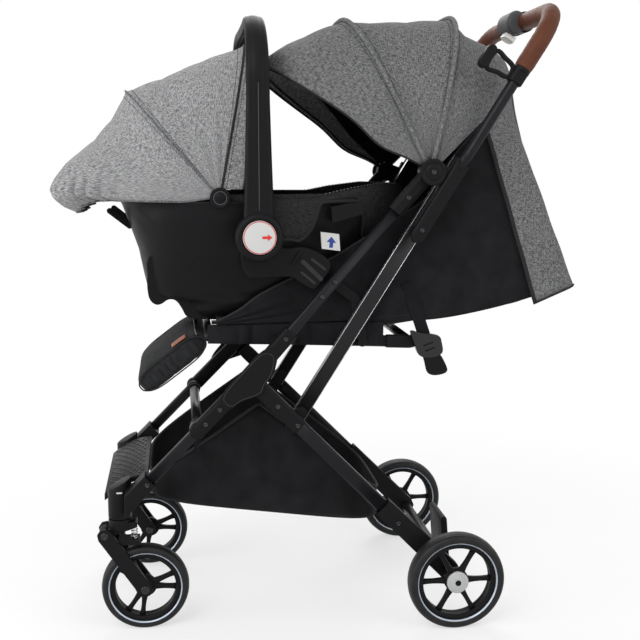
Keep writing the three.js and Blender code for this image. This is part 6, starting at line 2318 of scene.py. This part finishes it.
    def label(self, sign: int, side: str) -> None:
        """The release button: a plain pale disc with a red ring and an arrow.

        Args:
            sign: 1 for the left side, -1 for the right.
            side: Name of the side.
        """
        body, (y, z) = f"release_{side}", CARRIER_HUB
        disc = [(214.5, 0), (214.5, 27.2), (220.2, 27.2), (221.2, 26.2), (221.5, 24), (221.5, 0)]
        nodes = [f"carrier_button_{side}"]
        self.turned(f"release_disc_{side}", CARRIER_HUB, disc, LABEL, body, nodes, sign, segments=64)
        ring = [(221.4, 25.2), (221.75, 25.2), (221.75, 26.4), (221.4, 26.4)]
        name = f"release_ring_{side}"
        self.turned(name, CARRIER_HUB, ring, RED, body, sign=sign, closed=True, segments=64)
        arrow = ((4, 2.2), (13, 2.2), (13, 5.4), (20, 0), (13, -5.4), (13, -2.2), (4, -2.2))
        outline = [(y + a, z + b) for a, b in arrow]
        self.cut(f"release_arrow_{side}", outline, (221.2, 221.8), 0, RED, body, sign=sign)

    def guard(self, sign: int, side: str) -> None:
        """The belt guide behind the hub, with its slots, and the small arrow sticker.

        Args:
            sign: 1 for the left side, -1 for the right.
            side: Name of the side.
        """
        shape = [(-131, 660), (-133, 632), (-123, 613), (-107, 610), (-53, 612), (-36, 602), (-13, 590), (1, 603)]
        shape += [(16, 626), (9, 643), (-14, 657), (-35, 662), (-60, 660), (-90, 668)]
        slots = (((-31, 637), (-1, 608), 7), ((-16, 641), (6, 624), 4), ((-33, 619), (-12, 601), 4))
        tag = [(-2, 687), (29, 683), (31, 655), (0, 659)]
        mark = [(12, 661), (18, 660.5), (19, 669), (24, 668.5), (16, 679), (8, 670.5), (13, 670)]
        pieces = [("belt_guide", smooth(shape, 4, True), (150, 172), 3.0, PLASTIC)]
        for k, slot in enumerate(slots):
            pieces.append((f"belt_slot_{k}", bar_outline(*slot), (171, 172.3), 0.3, GLOSS))
        pieces += [
            ("belt_bridge", bar_outline((-47, 636), (-36, 653), 6), (170, 175.5), 1.2, PLASTIC),
            ("guide_sticker", tag, (170, 176.4), 0.4, LABEL),
            ("guide_mark", mark, (176.2, 176.7), 0, BLUE),
        ]
        for name, outline, span, bevel, finish in pieces:
            self.cut(f"{name}_{side}", outline, span, bevel, finish, "carrier", sign=sign)


@dataclass
class Studio(Assembly):
    """Floor, lights and camera. None of it belongs to the object."""

    lights: tuple[tuple[str, Point, float, float], ...] = (
        ("key_light", (2.6, -1.6, 3.0), 2.2, 62),
        ("fill_light", (2.2, 2.4, 1.8), 2.4, 30),
        ("back_light", (-2.4, 0.2, 2.6), 2.4, 42),
        ("front_light", (0.9, -3.2, 1.1), 2.0, 46),
    )
    lens: float = 56.25
    place: Point = (1.822, -0.238, 0.795)
    right: Point = (0.1412, 0.98998, 0)
    upright: Point = (-0.1506, 0.02148, 0.9884)
    ahead: Point = (-0.9785, 0.1396, -0.1521)

    def build(self) -> None:
        """Sets the studio up."""
        bpy.context.scene.view_settings.view_transform = "Standard"
        corners = np.array([(-12, -12, 0), (12, -12, 0), (12, 12, 0), (-12, 12, 0)]) / MM
        floor = link("studio_floor", mesh_of("studio_floor", corners, [], [(0, 1, 2, 3)]))
        floor.data.materials.append(self.floor_material())
        lights = [self.light(*light) for light in self.lights]
        self.world()
        self.camera()

    def floor_material(self) -> bpy.types.Material:
        """White cloth near the part, where its shadow falls, and plain white further off.

        Returns:
            The floor's material.
        """
        surface = Surface(FLOOR)
        material = surface.build()
        away = surface.node("ShaderNodeVectorMath", {0: surface.coords.outputs["Object"]}, operation="LENGTH")
        far = surface.remap(away.outputs["Value"], 0.4, 1.3, 0.6, 1.0)
        path = surface.node("ShaderNodeLightPath", {}).outputs
        seen = surface.math("MAXIMUM", path["Is Camera Ray"], path["Is Glossy Ray"])
        glow = surface.node("ShaderNodeEmission", {"Color": (1, 1, 1, 1), "Strength": 1.0})
        share = surface.math("MULTIPLY", far, seen)
        inputs = {0: share, 1: surface.shader.outputs[0], 2: glow.outputs[0]}
        mix = surface.node("ShaderNodeMixShader", inputs)
        surface.tree.links.new(mix.outputs[0], surface.tree.nodes["Material Output"].inputs[0])
        return material

    def light(self, name: str, place: Point, size: float, power: float) -> Object:
        """A soft light that looks at the middle of the part.

        Args:
            name: Name of the light.
            place: Where it stands, in metres.
            size: Its width in metres.
            power: Its power in watts.

        Returns:
            The light.
        """
        data = bpy.data.lights.new(name, "AREA")
        data.shape = "DISK"
        data.size = size
        data.energy = power
        obj = link(name, data)
        obj.location = place
        obj.rotation_euler = (Vector((0, 0, 0.5)) - Vector(place)).to_track_quat("-Z", "Y").to_euler()
        return obj

    def world(self) -> None:
        """White wherever it is seen or mirrored, and softer as a light."""
        world = bpy.data.worlds.new("studio_air")
        bpy.context.scene.world = world
        world.use_nodes = True
        tree = world.node_tree
        path = tree.nodes.new("ShaderNodeLightPath").outputs
        seen = path["Is Camera Ray"]
        for ray in ("Is Glossy Ray", "Is Transmission Ray"):
            seen = add_node(tree, "ShaderNodeMath", {0: seen, 1: path[ray]}, operation="MAXIMUM").outputs[0]
        level = add_node(tree, "ShaderNodeMapRange", {"Value": seen, "To Min": 0.55, "To Max": 1.0})
        back = tree.nodes["Background"]
        tree.links.new(level.outputs[0], back.inputs["Strength"])
        back.inputs["Color"].default_value = (1, 1, 1, 1)

    def camera(self) -> Object:
        """The camera, where the photograph was taken from.

        Returns:
            The camera.
        """
        data = bpy.data.cameras.new("photo_camera")
        data.lens = self.lens
        data.sensor_width = 36
        data.clip_start = 0.05
        obj = link("photo_camera", data)
        basis = Matrix((self.right, self.upright, -Vector(self.ahead))).transposed()
        obj.matrix_world = Matrix.Translation(self.place) @ basis.to_4x4()
        bpy.context.scene.camera = obj
        return obj


def main() -> None:
    """Builds the whole scene."""
    logging.basicConfig(level=logging.INFO, format="%(message)s", stream=sys.stdout)
    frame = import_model()
    parts: list[Assembly] = []
    for sign, side in SIDES:
        rear, front = (REAR_WHEEL_X * sign, *REAR_AXLE), (CASTER_X * sign, *FRONT_AXLE)
        parts.append(Wheel(frame, spec=REAR_WHEEL, centre=rear, tag="rear", side=side))
        parts.append(Wheel(frame, spec=FRONT_WHEEL, centre=front, tag="front", side=side))
        parts.append(Caster(frame, sign=sign, side=side))
    for kind in (Chassis, Basket, SeatUnit, HandleUnit, Canopy, CarrierHood, Carrier, Studio):
        parts.append(kind(frame))
    for part in parts:
        part.build()
    log.info("%d pieces", sum(part.count for part in parts))


if __name__ == "__main__":
    main()
